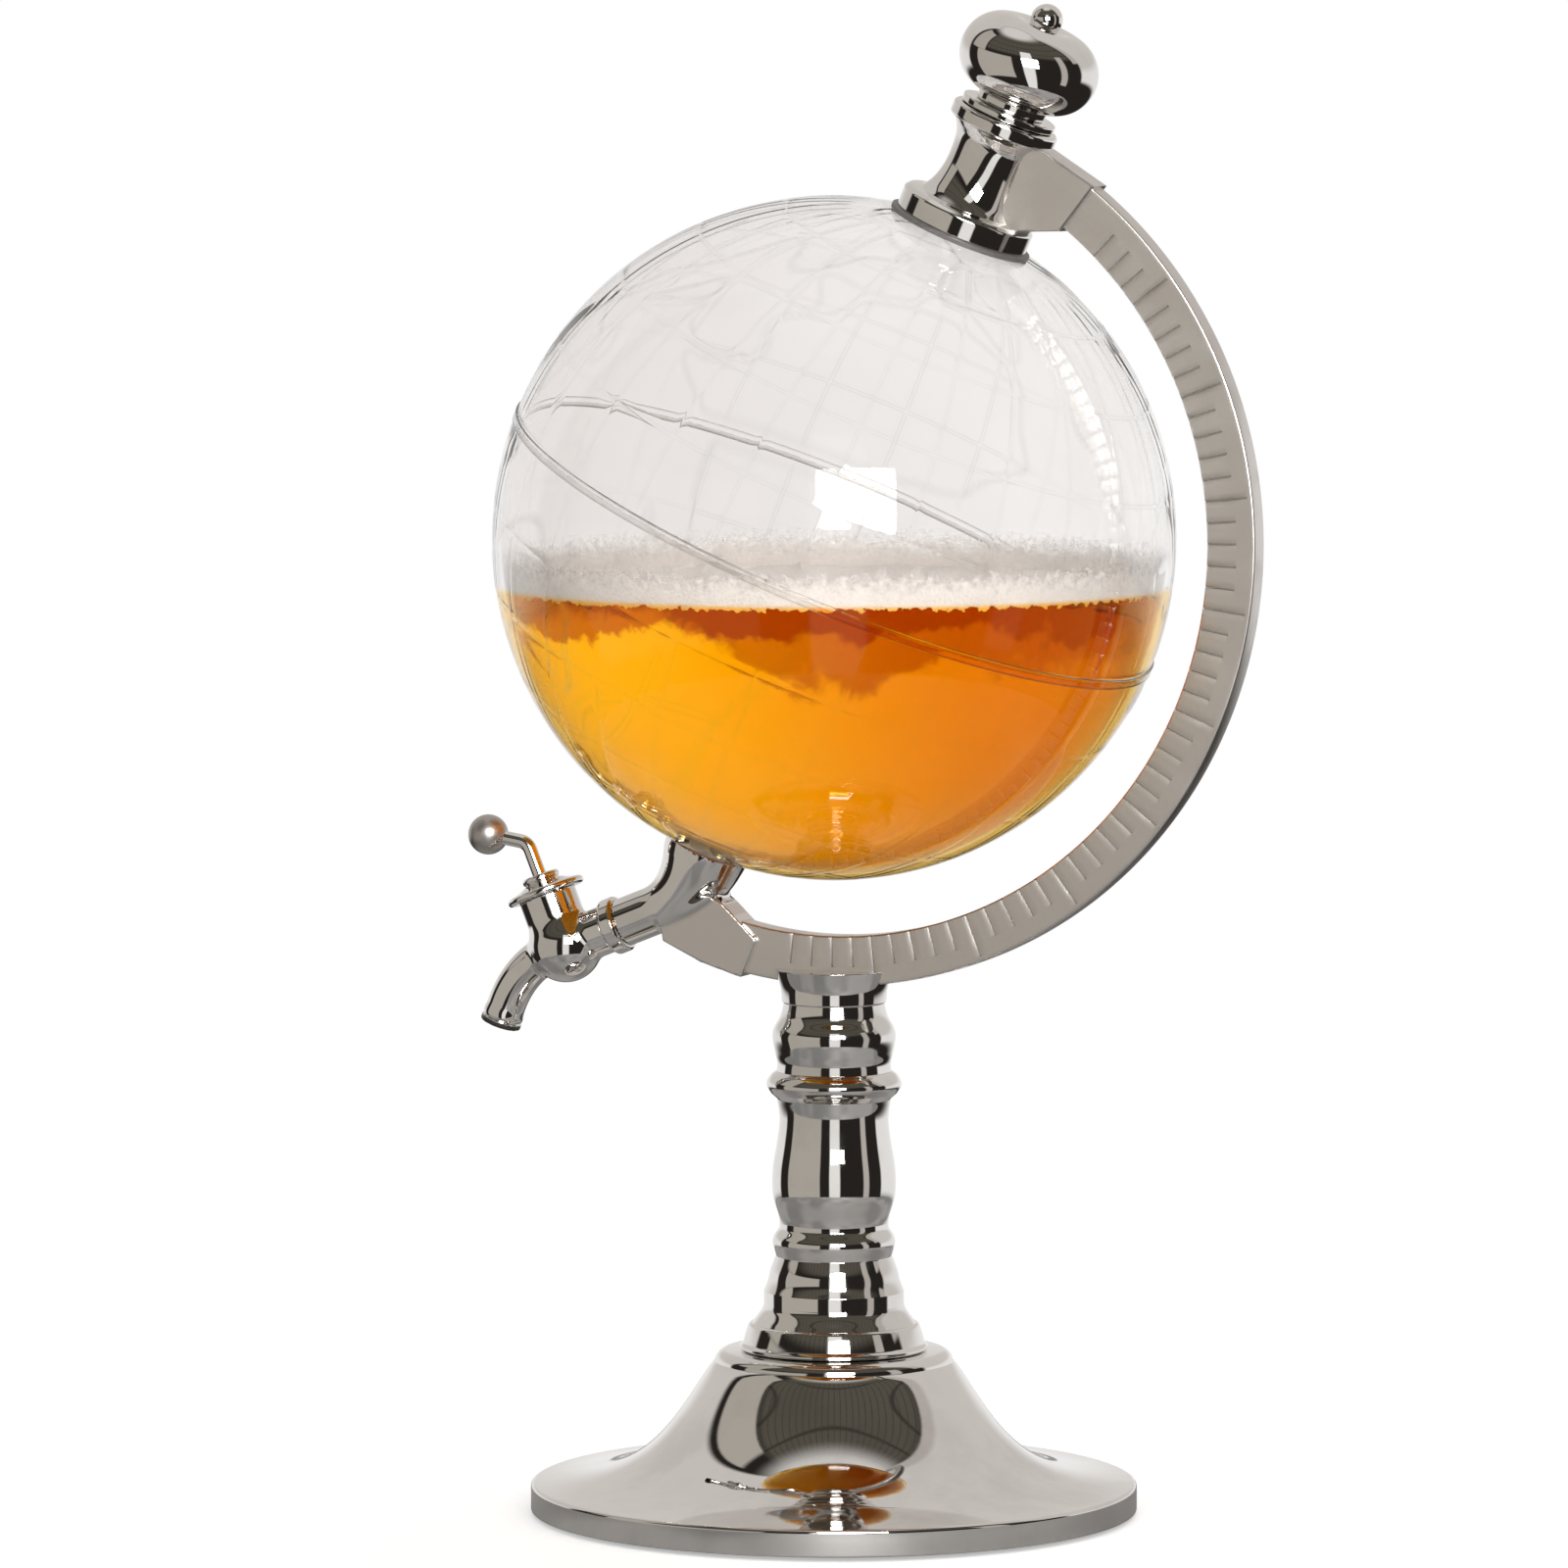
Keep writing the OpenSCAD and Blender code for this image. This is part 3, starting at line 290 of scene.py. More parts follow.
def tube(path, radius, sides=40):
    """A round bar along a path (x, z) in the plane y = 0: rings square to the path, a fan at each end."""
    p = np.asarray(path, float)
    along = np.gradient(p, axis=0)
    along /= np.linalg.norm(along, axis=1)[:, None]
    w = np.linspace(0, 2 * math.pi, sides, endpoint=False)[None]
    out, aside = radius * np.cos(w), np.repeat(radius * np.sin(w), len(p), 0)
    verts = np.stack([p[:, :1] + out * along[:, 1:], aside, p[:, 1:] - out * along[:, :1]], -1)
    verts = verts.reshape(-1, 3)
    faces = grid_quads(len(p), sides).tolist()
    verts, faces = closed_by_fan(verts, faces, [p[0, 0], 0, p[0, 1]], 0, sides, True)
    return closed_by_fan(verts, faces, [p[-1, 0], 0, p[-1, 1]], (len(p) - 1) * sides, sides, False)


def plate(outline, half, bevel):
    """A flat plate in the plane of (x, z), convex, its corners counted anticlockwise: four loops of the
    outline, the outer two moved in by the bevel, and a face on each side."""
    p = np.asarray(outline, float)
    ahead, behind = np.roll(p, -1, axis=0) - p, p - np.roll(p, 1, axis=0)
    ahead /= np.linalg.norm(ahead, axis=1)[:, None]
    behind /= np.linalg.norm(behind, axis=1)[:, None]
    inward = lambda d: np.stack([-d[:, 1], d[:, 0]], -1)
    bisector = inward(ahead) + inward(behind)
    inner = p + bevel * bisector / (1 + np.sum(ahead * behind, axis=1))[:, None]
    levels = ((inner, -half), (p, bevel - half), (p, half - bevel), (inner, half))
    verts = np.vstack([np.stack([q[:, 0], np.full(len(q), y), q[:, 1]], -1) for q, y in levels])
    n = len(p)
    faces = [[b, c, d, a] for a, b, c, d in grid_quads(4, n).tolist()]
    faces += [list(range(n)), list(range(4 * n - 1, 3 * n - 1, -1))]
    return verts, faces


def soft_least(a, b, k):
    """The lesser of two distances with a fillet of about k where they are alike."""
    h = np.clip(0.5 + 0.5 * (b - a) / k, 0, 1)
    return b + (a - b) * h - k * h * (1 - h)


def slope(field, points, step=0.05):
    """The slope of a distance field by central differences."""
    parts = [field(points + d) - field(points - d) for d in np.eye(3) * step]
    return np.stack(parts, -1) / (2 * step)


def skin(field, low, high, step):
    """The surface where a distance field is zero, for forms that run into each other with fillets: one
    vertex in each grid cell that it crosses, at the mean of the crossings on the cell's edges, moved onto
    the surface along the slope, and a quad round each grid edge that it cuts. The slopes are its normals."""
    axes = [np.arange(a, b + step, step) for a, b in zip(low, high)]
    points = np.stack(np.meshgrid(*axes, indexing="ij"), -1)
    values = field(points.reshape(-1, 3)).reshape(points.shape[:3])
    cells = np.array(values.shape) - 1
    total, count = np.zeros((*cells, 3)), np.zeros(cells)
    for axis in range(3):
        for ends in np.ndindex(2, 2):
            one, two = (tuple(slice(o, o + n) for o, n in zip(np.insert(ends, axis, end), cells))
                        for end in (0, 1))
            a, b = values[one], values[two]
            cross = (a < 0) != (b < 0)
            t = np.where(cross, a / np.where(cross, a - b, 1), 0)[..., None]
            total += np.where(cross[..., None], points[one] * (1 - t) + points[two] * t, 0)
            count += cross
    used = count > 0
    index = np.full(cells, -1)
    index[used] = np.arange(used.sum())
    verts = total[used] / count[used][:, None]
    for _ in range(4):
        g = slope(field, verts)
        steepness = np.sum(g * g, axis=1)[:, None].clip(0.2)
        verts = verts - np.clip(field(verts), -step, step)[:, None] * g / steepness
    quads = []
    for axis in range(3):
        ahead, m, n = np.roll(np.eye(3, dtype=int), -axis, axis=0)
        a, b = (values[tuple(slice(*ends) if k == axis else slice(1, -1) for k in range(3))] < 0
                for ends in ((0, -1), (1, None)))
        place = np.argwhere(a != b) + 1 - ahead
        quad = np.stack([index[tuple((place - d).T)] for d in (0 * m, m, m + n, n)], -1)
        quads.append(np.where(a[a != b][:, None], quad, quad[:, ::-1]))
    g = slope(field, verts)
    return verts, np.vstack(quads), g / np.linalg.norm(g, axis=1)[:, None]


def path_distance(p, pieces):
    """Distance of points (x, y, z) from a line in the plane y = 0 that is made of straight and round
    pieces, and how far along it the nearest point lies."""
    best, along, run = None, None, 0.0
    for kind, *v in pieces:
        if kind == "straight":
            start, way, reach = np.array(v[0]), np.array(v[1]), v[2]
            t = np.clip((p[:, 0] - start[0]) * way[0] + (p[:, 2] - start[1]) * way[1], 0, reach)
            near, here = start + t[:, None] * way, t
        else:
            centre, radius, begin, sweep = v
            raw = np.arctan2(p[:, 2] - centre[1], p[:, 0] - centre[0]) - begin
            raw = (raw + math.pi) % (2 * math.pi) - math.pi
            t = np.clip(raw * np.sign(sweep), 0, abs(sweep))
            w = begin + np.sign(sweep) * t
            near = np.stack([centre[0] + radius * np.cos(w), centre[1] + radius * np.sin(w)], -1)
            here, reach = t * radius, abs(sweep) * radius
        d = np.sqrt((p[:, 0] - near[:, 0]) ** 2 + p[:, 1] ** 2 + (p[:, 2] - near[:, 1]) ** 2)
        if best is None:
            best, along = d, here + run
        else:
            along = np.where(d < best, here + run, along)
            best = np.minimum(d, best)
        run += reach
    return best, along


def ease(t):
    """An S curve from 0 to 1: 3 t^2 - 2 t^3."""
    t = np.clip(t, 0, 1)
    return t * t * (3 - 2 * t)


def flat_outline_distance(x, z, outline):
    """Signed distance from a convex outline counted anticlockwise: the greatest of its sides' distances
    inside, the least distance from a side outside."""
    p = np.asarray(outline, float)
    inside, outside = np.full(x.shape, -1e9), np.full(x.shape, 1e9)
    for a, b in zip(p, np.roll(p, -1, axis=0)):
        way = (b - a) / np.linalg.norm(b - a)
        inside = np.maximum(inside, (x - a[0]) * way[1] - (z - a[1]) * way[0])
        t = np.clip((x - a[0]) * way[0] + (z - a[1]) * way[1], 0, np.linalg.norm(b - a))
        outside = np.minimum(outside, np.hypot(x - a[0] - t * way[0], z - a[1] - t * way[1]))
    return np.where(inside > 0, outside, inside)


def rounded_block(a, b, radius):
    """Distance of the form inside two distances at once, its edges rounded."""
    a, b = a + radius, b + radius
    return np.minimum(np.maximum(a, b), 0) + np.hypot(np.maximum(a, 0), np.maximum(b, 0)) - radius


def make_piece(name, surface, material, body="stand", nodes=(), slot=None, place=UPRIGHT, normals=None,
               crease=40, marks=None):
    """A mesh object at the origin from a surface in millimetres. It rides on a body and stands for nodes;
    marks are named values on its vertices."""
    verts, faces = surface
    mesh = bpy.data.meshes.new(name)
    faces = faces if isinstance(faces, list) else faces.tolist()
    mesh.from_pydata((place.put(verts) * MM).tolist(), [], faces)
    mesh.validate()
    mesh.shade_smooth()
    if normals is None:
        mesh.set_sharp_from_angle(angle=math.radians(crease))
    else:
        mesh.normals_split_custom_set_from_vertices(Place(place.degrees, (0, 0, 0)).put(normals).tolist())
    for key, values in (marks or {}).items():
        mark = mesh.attributes.new(key, "FLOAT", "POINT")
        mark.data.foreach_set("value", np.asarray(values, np.float32))
    mesh.materials.append(material)
    piece = bpy.data.objects.new(name, mesh)
    bpy.context.scene.collection.objects.link(piece)
    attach(piece, body)
    if nodes:
        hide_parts(*nodes)


# Finishes

class Graph:
    """Builds the nodes of one tree, from the places that it reads to its output."""

    def __init__(self, tree):
        self.tree = tree
        tree.nodes.clear()

    def add(self, kind, inputs=None, **settings):
        """A node with its settings; an input that is given a socket is linked, any other is set."""
        node = self.tree.nodes.new(kind)
        for key, value in settings.items():
            setattr(node, key, value)
        for key, value in (inputs or {}).items():
            if isinstance(value, bpy.types.NodeSocket):
                self.tree.links.new(value, node.inputs[key])
            else:
                node.inputs[key].default_value = value
        return node

    def place(self, kind="Object"):
        """Texture coordinates."""
        return self.add("ShaderNodeTexCoord").outputs[kind]

    def split(self, vector):
        """The outputs for a vector's X, Y and Z."""
        return self.add("ShaderNodeSeparateXYZ", {0: vector}).outputs

    def rays(self):
        """The outputs that tell one kind of ray from another."""
        return self.add("ShaderNodeLightPath").outputs

    def mark(self, name):
        """A named value on the vertices."""
        return self.add("ShaderNodeAttribute", attribute_name=name).outputs["Fac"]

    def noise(self, where, scale, detail=3.0, roughness=0.5):
        """Cloudy noise between 0 and 1."""
        return self.add("ShaderNodeTexNoise", {"Vector": where, "Scale": scale, "Detail": detail,
                                               "Roughness": roughness}).outputs["Fac"]

    def mix(self, share, a, b):
        """The colour between a and b."""
        a, b = (c if isinstance(c, bpy.types.NodeSocket) else (*c, 1.0) for c in (a, b))
        return self.add("ShaderNodeMix", {0: share, 6: a, 7: b}, data_type="RGBA").outputs[2]

    def range(self, value, low, high, to_low=0.0, to_high=1.0, soft=False):
        """A value moved from one range to another."""
        return self.add("ShaderNodeMapRange", {"Value": value, "From Min": low, "From Max": high,
                                               "To Min": to_low, "To Max": to_high},
                        interpolation_type="SMOOTHSTEP" if soft else "LINEAR").outputs["Result"]

    def math(self, how, a, b=0.0):
        """A Math node's result."""
        return self.add("ShaderNodeMath", {0: a, 1: b}, operation=how).outputs[0]

    def bump(self, height, strength, distance):
        """A normal that is tilted by a height."""
        return self.add("ShaderNodeBump", {"Strength": strength, "Distance": distance,
                                           "Height": height}).outputs[0]

    def end(self, kind, inputs):
        """Adds the output and sets the nodes out in columns, each to the right of those that feed it."""
        self.add(kind, inputs)
        column, rows = {}, {}
        for node in self.tree.nodes:
            links = [link for socket in node.inputs for link in socket.links]
            place = column[node.name] = 1 + max((column[link.from_node.name] for link in links), default=-1)
            rows[place] = rows.get(place, -1) + 1
            node.location = (260 * place, -340 * rows[place])


class Finish(Graph):
    """Builds a material. Its name differs from the solids' own materials."""

    def __init__(self, name):
        self.material = bpy.data.materials.new("look_" + name)
        self.material.use_nodes = True
        super().__init__(self.material.node_tree)

    def coat(self, inputs, passing=None):
        """Gives the finish its shader. With a passing colour, light goes through it on its way to a lamp."""
        shader = self.add("ShaderNodeBsdfPrincipled", inputs)
        if passing:
            window = self.add("ShaderNodeBsdfTransparent", {"Color": (*passing, 1.0)})
            shader = self.add("ShaderNodeMixShader", {0: self.rays()["Is Shadow Ray"], 1: shader.outputs[0],
                                                      2: window.outputs[0]})
        self.end("ShaderNodeOutputMaterial", {"Surface": shader.outputs[0]})
        return self.material


def polish_marks():
    """The group of handling marks on metal: cloudy smudges and fine hairlines, on Object coordinates."""
    if "polish_marks" in bpy.data.node_groups:
        return bpy.data.node_groups["polish_marks"]
    group = bpy.data.node_groups.new("polish_marks", "ShaderNodeTree")
    for key, value in (("Smudge Scale", 40.0), ("Hairline Scale", 900.0)):
        group.interface.new_socket(key, in_out="INPUT", socket_type="NodeSocketFloat").default_value = value
    for key in ("Smudge", "Hairline"):
        group.interface.new_socket(key, in_out="OUTPUT", socket_type="NodeSocketFloat")
    graph = Graph(group)
    given = graph.add("NodeGroupInput").outputs
    here = graph.place()
    cloud = graph.noise(here, given["Smudge Scale"], 4.0, 0.6)
    squeezed = graph.add("ShaderNodeMapping", {"Vector": here, "Scale": (1.0, 1.0, 0.08)}).outputs[0]
    graph.end("NodeGroupOutput", {"Smudge": graph.range(cloud, 0.42, 0.7, soft=True),
                                  "Hairline": graph.noise(squeezed, given["Hairline Scale"], 2.0)})
    return group


def metal(name, tone, rough, rough_marked, bump, smudge_scale=40.0, hairline_scale=900.0, mark=None,
          turns_to=None):
    """A metal finish: smudges dull it and shade its tone, hairlines lift it. A named vertex mark turns it to
    another tone, roughness and metallic value."""
    if "look_" + name in bpy.data.materials:
        return bpy.data.materials["look_" + name]
    graph = Finish(name)
    marks = graph.add("ShaderNodeGroup", {"Smudge Scale": smudge_scale, "Hairline Scale": hairline_scale},
                      node_tree=polish_marks()).outputs
    tint = graph.mix(marks["Smudge"], tone, [0.9 * c for c in tone])
    dull = graph.range(marks["Smudge"], 0.0, 1.0, rough, rough_marked)
    metallic = 1.0
    if mark:
        other_tone, other_rough, other_metallic = turns_to
        share = graph.mark(mark)
        tint = graph.mix(share, tint, other_tone)
        dull = graph.range(share, 0.0, 1.0, dull, other_rough)
        if other_metallic < 1:
            metallic = graph.range(share, 0.0, 1.0, 1.0, other_metallic)
    return graph.coat({"Base Color": tint, "Roughness": dull, "Metallic": metallic,
                       "Normal": graph.bump(marks["Hairline"], bump, 0.0002)})


# Roughness, roughness in the smudges, and bump
MIRROR_POLISH = (0.025, 0.07, 0.01)


def chrome(context):
    """Mirror-polished plating."""
    return metal("chrome", context.scene.dispenser_colours.chrome, *MIRROR_POLISH)


def arc_satin(context):
    """Satin metal of the arc, smoother in its engraved lines and darker there with painted shade."""
    return metal("arc_metal", context.scene.dispenser_colours.arc_metal, rough=0.3, rough_marked=0.38,
                 # Painted shade: the engraved marks turn to a darker tone
                 bump=0.12, smudge_scale=60.0, hairline_scale=1400.0, mark="groove",
                 turns_to=((0.56, 0.525, 0.49), 0.2, 1.0))


def grained(name, tone, spread, rough, scale, bump, metallic):
    """A finish with a fine grain: noise shades the tone and lifts the surface."""
    graph = Finish(name)
    grain = graph.noise(graph.place(), scale)
    return graph.coat({"Metallic": metallic,
                       "Base Color": graph.mix(grain, tone, [min(1, c * spread) for c in tone]),
                       "Roughness": graph.range(grain, 0.3, 0.7, rough * 0.85, min(1.0, rough * 1.15)),
                       "Normal": graph.bump(grain, bump, 0.0003)})


def clear_shell(context, level):
    """Clear plastic: a plain refracting shell, with painted shade on the slopes of its relief, misted above
    the
    level of the drink with painted shade on the mist's -X side, and below the level tinted with painted
    light:
    the drink's colour that shines through it, where the two touch."""
    colours = context.scene.dispenser_colours
    graph = Finish("clear_shell")
    here = graph.place()
    x, _, z = graph.split(here)
    # Painted shade: the mist is darker on the shell's -X side
    mist = graph.mix(graph.range(x, -0.09, 0.04, soft=True), colours.mist_shade, colours.mist)
    # Painted light below the level: there the shell takes the drink's colour
    empty = graph.range(z, (level - 1) * MM, (level + 1) * MM, soft=True)
    # Painted shade: greyer on the relief's slopes and the seam band's edges
    tint = graph.mix(graph.mark("edge"), graph.mix(empty, colours.shell, mist), colours.shell_slope_shade)
    dull = graph.range(graph.noise(here, 60.0), 0.35, 0.75, 0.0, 0.015)
    return graph.coat({"Base Color": tint, "Roughness": dull, "Metallic": 0.0, "IOR": 1.47,
                       "Transmission Weight": 1.0, "Specular Tint": (0.4, 0.4, 0.4, 1.0)},
                      (0.93, 0.93, 0.925))


def drink_finish(context, level):
    """The drink: a clear, slightly cloudy liquid, tinted on its surface, with painted shade on its +X side
    and in a ragged band below the foam, and a faint painted glow in its own tint."""
    colours = context.scene.dispenser_colours
    graph = Finish("drink")
    here = graph.place()
    x, _, z = graph.split(here)
    # Painted shade under the foam: a ragged band just below the level turns darker
    reach = graph.range(graph.noise(here, 26.0, 8.0, 0.62), 0.35, 0.7, 0.002, 0.018)
    over = graph.math("SUBTRACT", reach, graph.math("SUBTRACT", level * MM, z))
    band = graph.range(over, -0.0015, 0.0015, 0.0, 0.94, True)
    # Painted shade: darker towards +X, a lit and a shaded copy of the drink's colour
    base = graph.mix(graph.range(x, -0.07, 0.08, soft=True), colours.drink, colours.drink_shade)
    tint = graph.mix(band, base, colours.drink_foam_shade)
    # Painted glow: the drink faintly emits its own tint, though it is no lamp
    return graph.coat({"Base Color": tint, "Roughness": 0.0, "Metallic": 0.0, "IOR": 1.33,
                       "Transmission Weight": 0.92, "Specular Tint": (0.05, 0.05, 0.05, 1.0),
                       "Emission Color": tint, "Emission Strength": 0.08}, (0.95, 0.55, 0.12))


def foam_finish(context, low, high, lip):
    """Foam: pale and full of fine bubbles, thinning out towards its top, with a ragged lip over the drink's
    edge."""
    tone = context.scene.dispenser_colours.foam
    graph = Finish("foam")
    here = graph.place()
    z = graph.split(here)["Z"]
    bubbles = graph.add("ShaderNodeTexVoronoi", {"Vector": here, "Scale": 900.0}).outputs["Distance"]
    clumps = graph.noise(here, 420.0)
    thinned = graph.math("ADD", graph.range(z, low * MM, high * MM),
                         graph.range(clumps, 0.3, 0.7, -0.16, 0.16))
    hem = graph.math("GREATER_THAN", graph.range(z, (low - lip) * MM, low * MM),
                     graph.range(clumps, 0.36, 0.62, 0.0, 0.98))
    solid = graph.math("MULTIPLY", graph.range(thinned, 0.25, 1.0, 1.0, 0.0, True), hem)
    tint = graph.mix(graph.range(bubbles, 0.1, 0.7), [c * 0.92 for c in tone], tone)
    return graph.coat({"Base Color": tint, "Roughness": 0.8, "Specular IOR Level": 0.05, "Alpha": solid,
                       "Normal": graph.bump(bubbles, 0.35, 0.0004)})


# Pieces

def turning(context, name, node, outline, corner, sides, closed=True, **more):
    """A chrome lathe piece: an outline whose corners are eased, turned about its place's axis."""
    surface = turned(eased(outline, corner, closed), sides, closed)
    make_piece(name, surface, chrome(context), nodes=(node,), slot="chrome", **more)


class DISPENSER_OT_stage(bpy.types.Operator):
    """Adds the floor, the lamps, the studio that the metal reflects, and the camera"""

    bl_idname = "dispenser.stage"
    bl_label = "Stage"

    # The camera's angles in degrees, and its place seen from the globe's centre in millimetres
    azimuth = 21.6
    elevation = 4.8
    distance = 2700.0
    aside, above = -14.7, -71.8

    def sight(self):
        """Right, up and back directions of the camera."""
        a, e = math.radians(self.azimuth), math.radians(self.elevation)
        right = Vector((math.cos(a), math.sin(a), 0))
        up = Vector((-math.sin(a) * math.sin(e), math.cos(a) * math.sin(e), math.cos(e)))
        return right, up, right.cross(up)

    def camera(self, context, centre):
        """A long lens at the photo's angle."""
        right, up, back = self.sight()
        data = bpy.data.cameras.new("photo_camera")
        data.sensor_width, data.lens = 36.0, 212.0
        data.clip_start, data.clip_end = 0.1, 50.0
        camera = bpy.data.objects.new("photo_camera", data)
        place = centre + (self.aside * right + self.above * up + self.distance * back) * MM
        camera.matrix_world = Matrix.Translation(place) @ Matrix((right, up, back)).transposed().to_4x4()
        context.scene.collection.objects.link(camera)
        context.scene.camera = camera

    def softbox(self, context, centre, name, azimuth, elevation, distance, size, power, tint, mirrored):
        """A soft lamp that faces the globe from angles counted from the camera's heading. It is either
        seen in polished pieces or lights the dull ones."""
        a, e = math.radians(self.azimuth + azimuth), math.radians(elevation)
        way = Vector((math.sin(a) * math.cos(e), -math.cos(a) * math.cos(e), math.sin(e)))
        data = bpy.data.lights.new(name, "AREA")
        data.shape, data.size, data.size_y = "RECTANGLE", size[0], size[1]
        data.energy, data.color = power, tint
        lamp = bpy.data.objects.new(name, data)
        lamp.visible_glossy, lamp.visible_diffuse = mirrored, not mirrored
        lamp.visible_transmission = False
        facing = way.to_track_quat("Z", "Y").to_matrix().to_4x4()
        lamp.matrix_world = Matrix.Translation(centre + way * distance) @ facing
        context.scene.collection.objects.link(lamp)

    def floor(self, context):
        """A round floor: white to the eye where it is lit, with the object's shadow, patchy in the metal."""
        verts, faces = turned([(0.0, -0.4), (1.0, -0.4), (360.0, -0.4), (372.0, -1.4)], 96)
        mesh = bpy.data.meshes.new("floor")
        mesh.from_pydata((verts * MM).tolist(), [], [face[::-1] for face in faces])
        mesh.shade_smooth()
        shaded = lambda share: [c * share for c in context.scene.dispenser_colours.floor]
        graph = Finish("floor")
        here, rays = graph.place(), graph.rays()
        grain = graph.mix(graph.noise(here, 90.0), shaded(1.0), shaded(0.97))
        patches = graph.range(graph.noise(here, 5.0, 1.0), 0.4, 0.6, soft=True)
        tint = graph.mix(rays["Is Glossy Ray"], grain, graph.mix(patches, shaded(0.38), shaded(0.58)))
        seen = graph.math("MAXIMUM", rays["Is Camera Ray"], rays["Is Transmission Ray"])
        mesh.materials.append(graph.coat({"Base Color": tint, "Roughness": 0.7, "Specular IOR Level": 0.2,
                                          "Emission Color": (1.0, 1.0, 1.0, 1.0),
                                          "Emission Strength": graph.math("MULTIPLY", seen, 0.46)}))
        floor = bpy.data.objects.new("floor", mesh)
        context.scene.collection.objects.link(floor)

    def studio(self, context):
        """The world: white to the eye and through glass, plain grey light, and for the metal a pale
        backdrop, a dark room in front with a ribbed cloth above, panels at both sides and a tall light
        strip, by heading and height from the camera."""
        colours = context.scene.dispenser_colours
        world = context.scene.world = bpy.data.worlds.new("studio")
        world.use_nodes = True
        graph = Graph(world.node_tree)
        way, rays = graph.place("Generated"), graph.rays()
        right, _, _ = self.sight()
        ahead = Vector((right.y, -right.x, 0))
        across, front = (graph.add("ShaderNodeVectorMath", {0: way, 1: line}, operation="DOT_PRODUCT")
                         .outputs["Value"] for line in (right, ahead))
        heading = graph.math("ARCTAN2", across, front)
        height = graph.math("ARCSINE", graph.split(way)["Z"])

        def rise(value, low, high, start=0.0, end=1.0):
            """From 0 below an angle in degrees to 1 above another."""
            return graph.range(value, math.radians(low), math.radians(high), start, end, True)

        def band(value, low, high, soft):
            """1 between two angles."""
            return graph.math("MULTIPLY", rise(value, low - soft, low + soft),
                              rise(value, high - soft, high + soft, 1.0, 0.0))

        def ribs(value, number):
            """The size of a sine wave."""
            return graph.math("ABSOLUTE", graph.math("SINE", graph.math("MULTIPLY", value, number)))

        weave = graph.math("MINIMUM", ribs(heading, 26.0), ribs(height, 15.0))
        ribbed = graph.range(weave, 0.0, 0.3, 0.3, 1.0, True)
        over = graph.math("MULTIPLY", band(heading, -78, 88, 8), rise(height, 24, 32))
        shown = graph.mix(over, colours.room, graph.mix(ribbed, colours.room, colours.ceiling))
        panels = ((colours.wall, -96, -27, -30, 20), (colours.wall, -112, -80, 20, 60),
                  (colours.side_wall, 88, 116, 20, 70), (colours.side_wall, 57, 69, -30, 34),
                  (colours.strip, -9, 11, -60, 38))
        for tone, left, end, low, high in panels:
            panel = graph.math("MULTIPLY", band(heading, left, end, 1.5), band(height, low, high, 1.5))
            shown = graph.mix(panel, shown, tone)
        behind = graph.math("SUBTRACT", 1.0, band(heading, -119, 99, 3))
        backdrop = graph.mix(rise(height, 2, 14), colours.backdrop, colours.backdrop_high)
        shown = graph.mix(graph.math("MULTIPLY", behind, band(height, -13, 72, 4)), shown, backdrop)
        shown = graph.mix(rise(height, 64, 78), shown, (0.74, 0.715, 0.69))
        mirrored = graph.math("MAXIMUM", rays["Is Glossy Ray"], rays["Is Transmission Ray"])
        plain = graph.mix(mirrored, (0.56, 0.555, 0.55), shown)
        clear = graph.math("MAXIMUM", graph.range(front, 0.3, 0.6, 1.0, 0.0, True),
                           graph.math("LESS_THAN", rays["Glossy Depth"], 0.5))
        seen = graph.math("MAXIMUM", rays["Is Camera Ray"],
                          graph.math("MULTIPLY", rays["Is Transmission Ray"], clear))
        shine = graph.mix(seen, plain, (1.0, 1.0, 1.0))
        light = graph.add("ShaderNodeBackground", {"Color": shine, "Strength": 1.0})
        graph.end("ShaderNodeOutputWorld", {"Surface": light.outputs[0]})

    def execute(self, context):
        centre = Vector((0, 0, context.scene.dispenser_sizes.globe_height))
        self.camera(context, centre)
        self.floor(context)
        self.studio(context)
        window = dict(azimuth=7, elevation=16, distance=1.7, size=(0.78, 0.6), tint=(1.0, 0.985, 0.96))
        self.softbox(context, centre, "window", power=34.0, mirrored=True, **window)
        self.softbox(context, centre, "key", power=7.5, mirrored=False, **window)
        self.softbox(context, centre, "overhead", azimuth=150, elevation=62, distance=1.6, size=(1.2, 1.2),
                     power=4.5, tint=(1.0, 1.0, 1.0), mirrored=False)
        context.scene.view_settings.view_transform = "Standard"
        return {"FINISHED"}


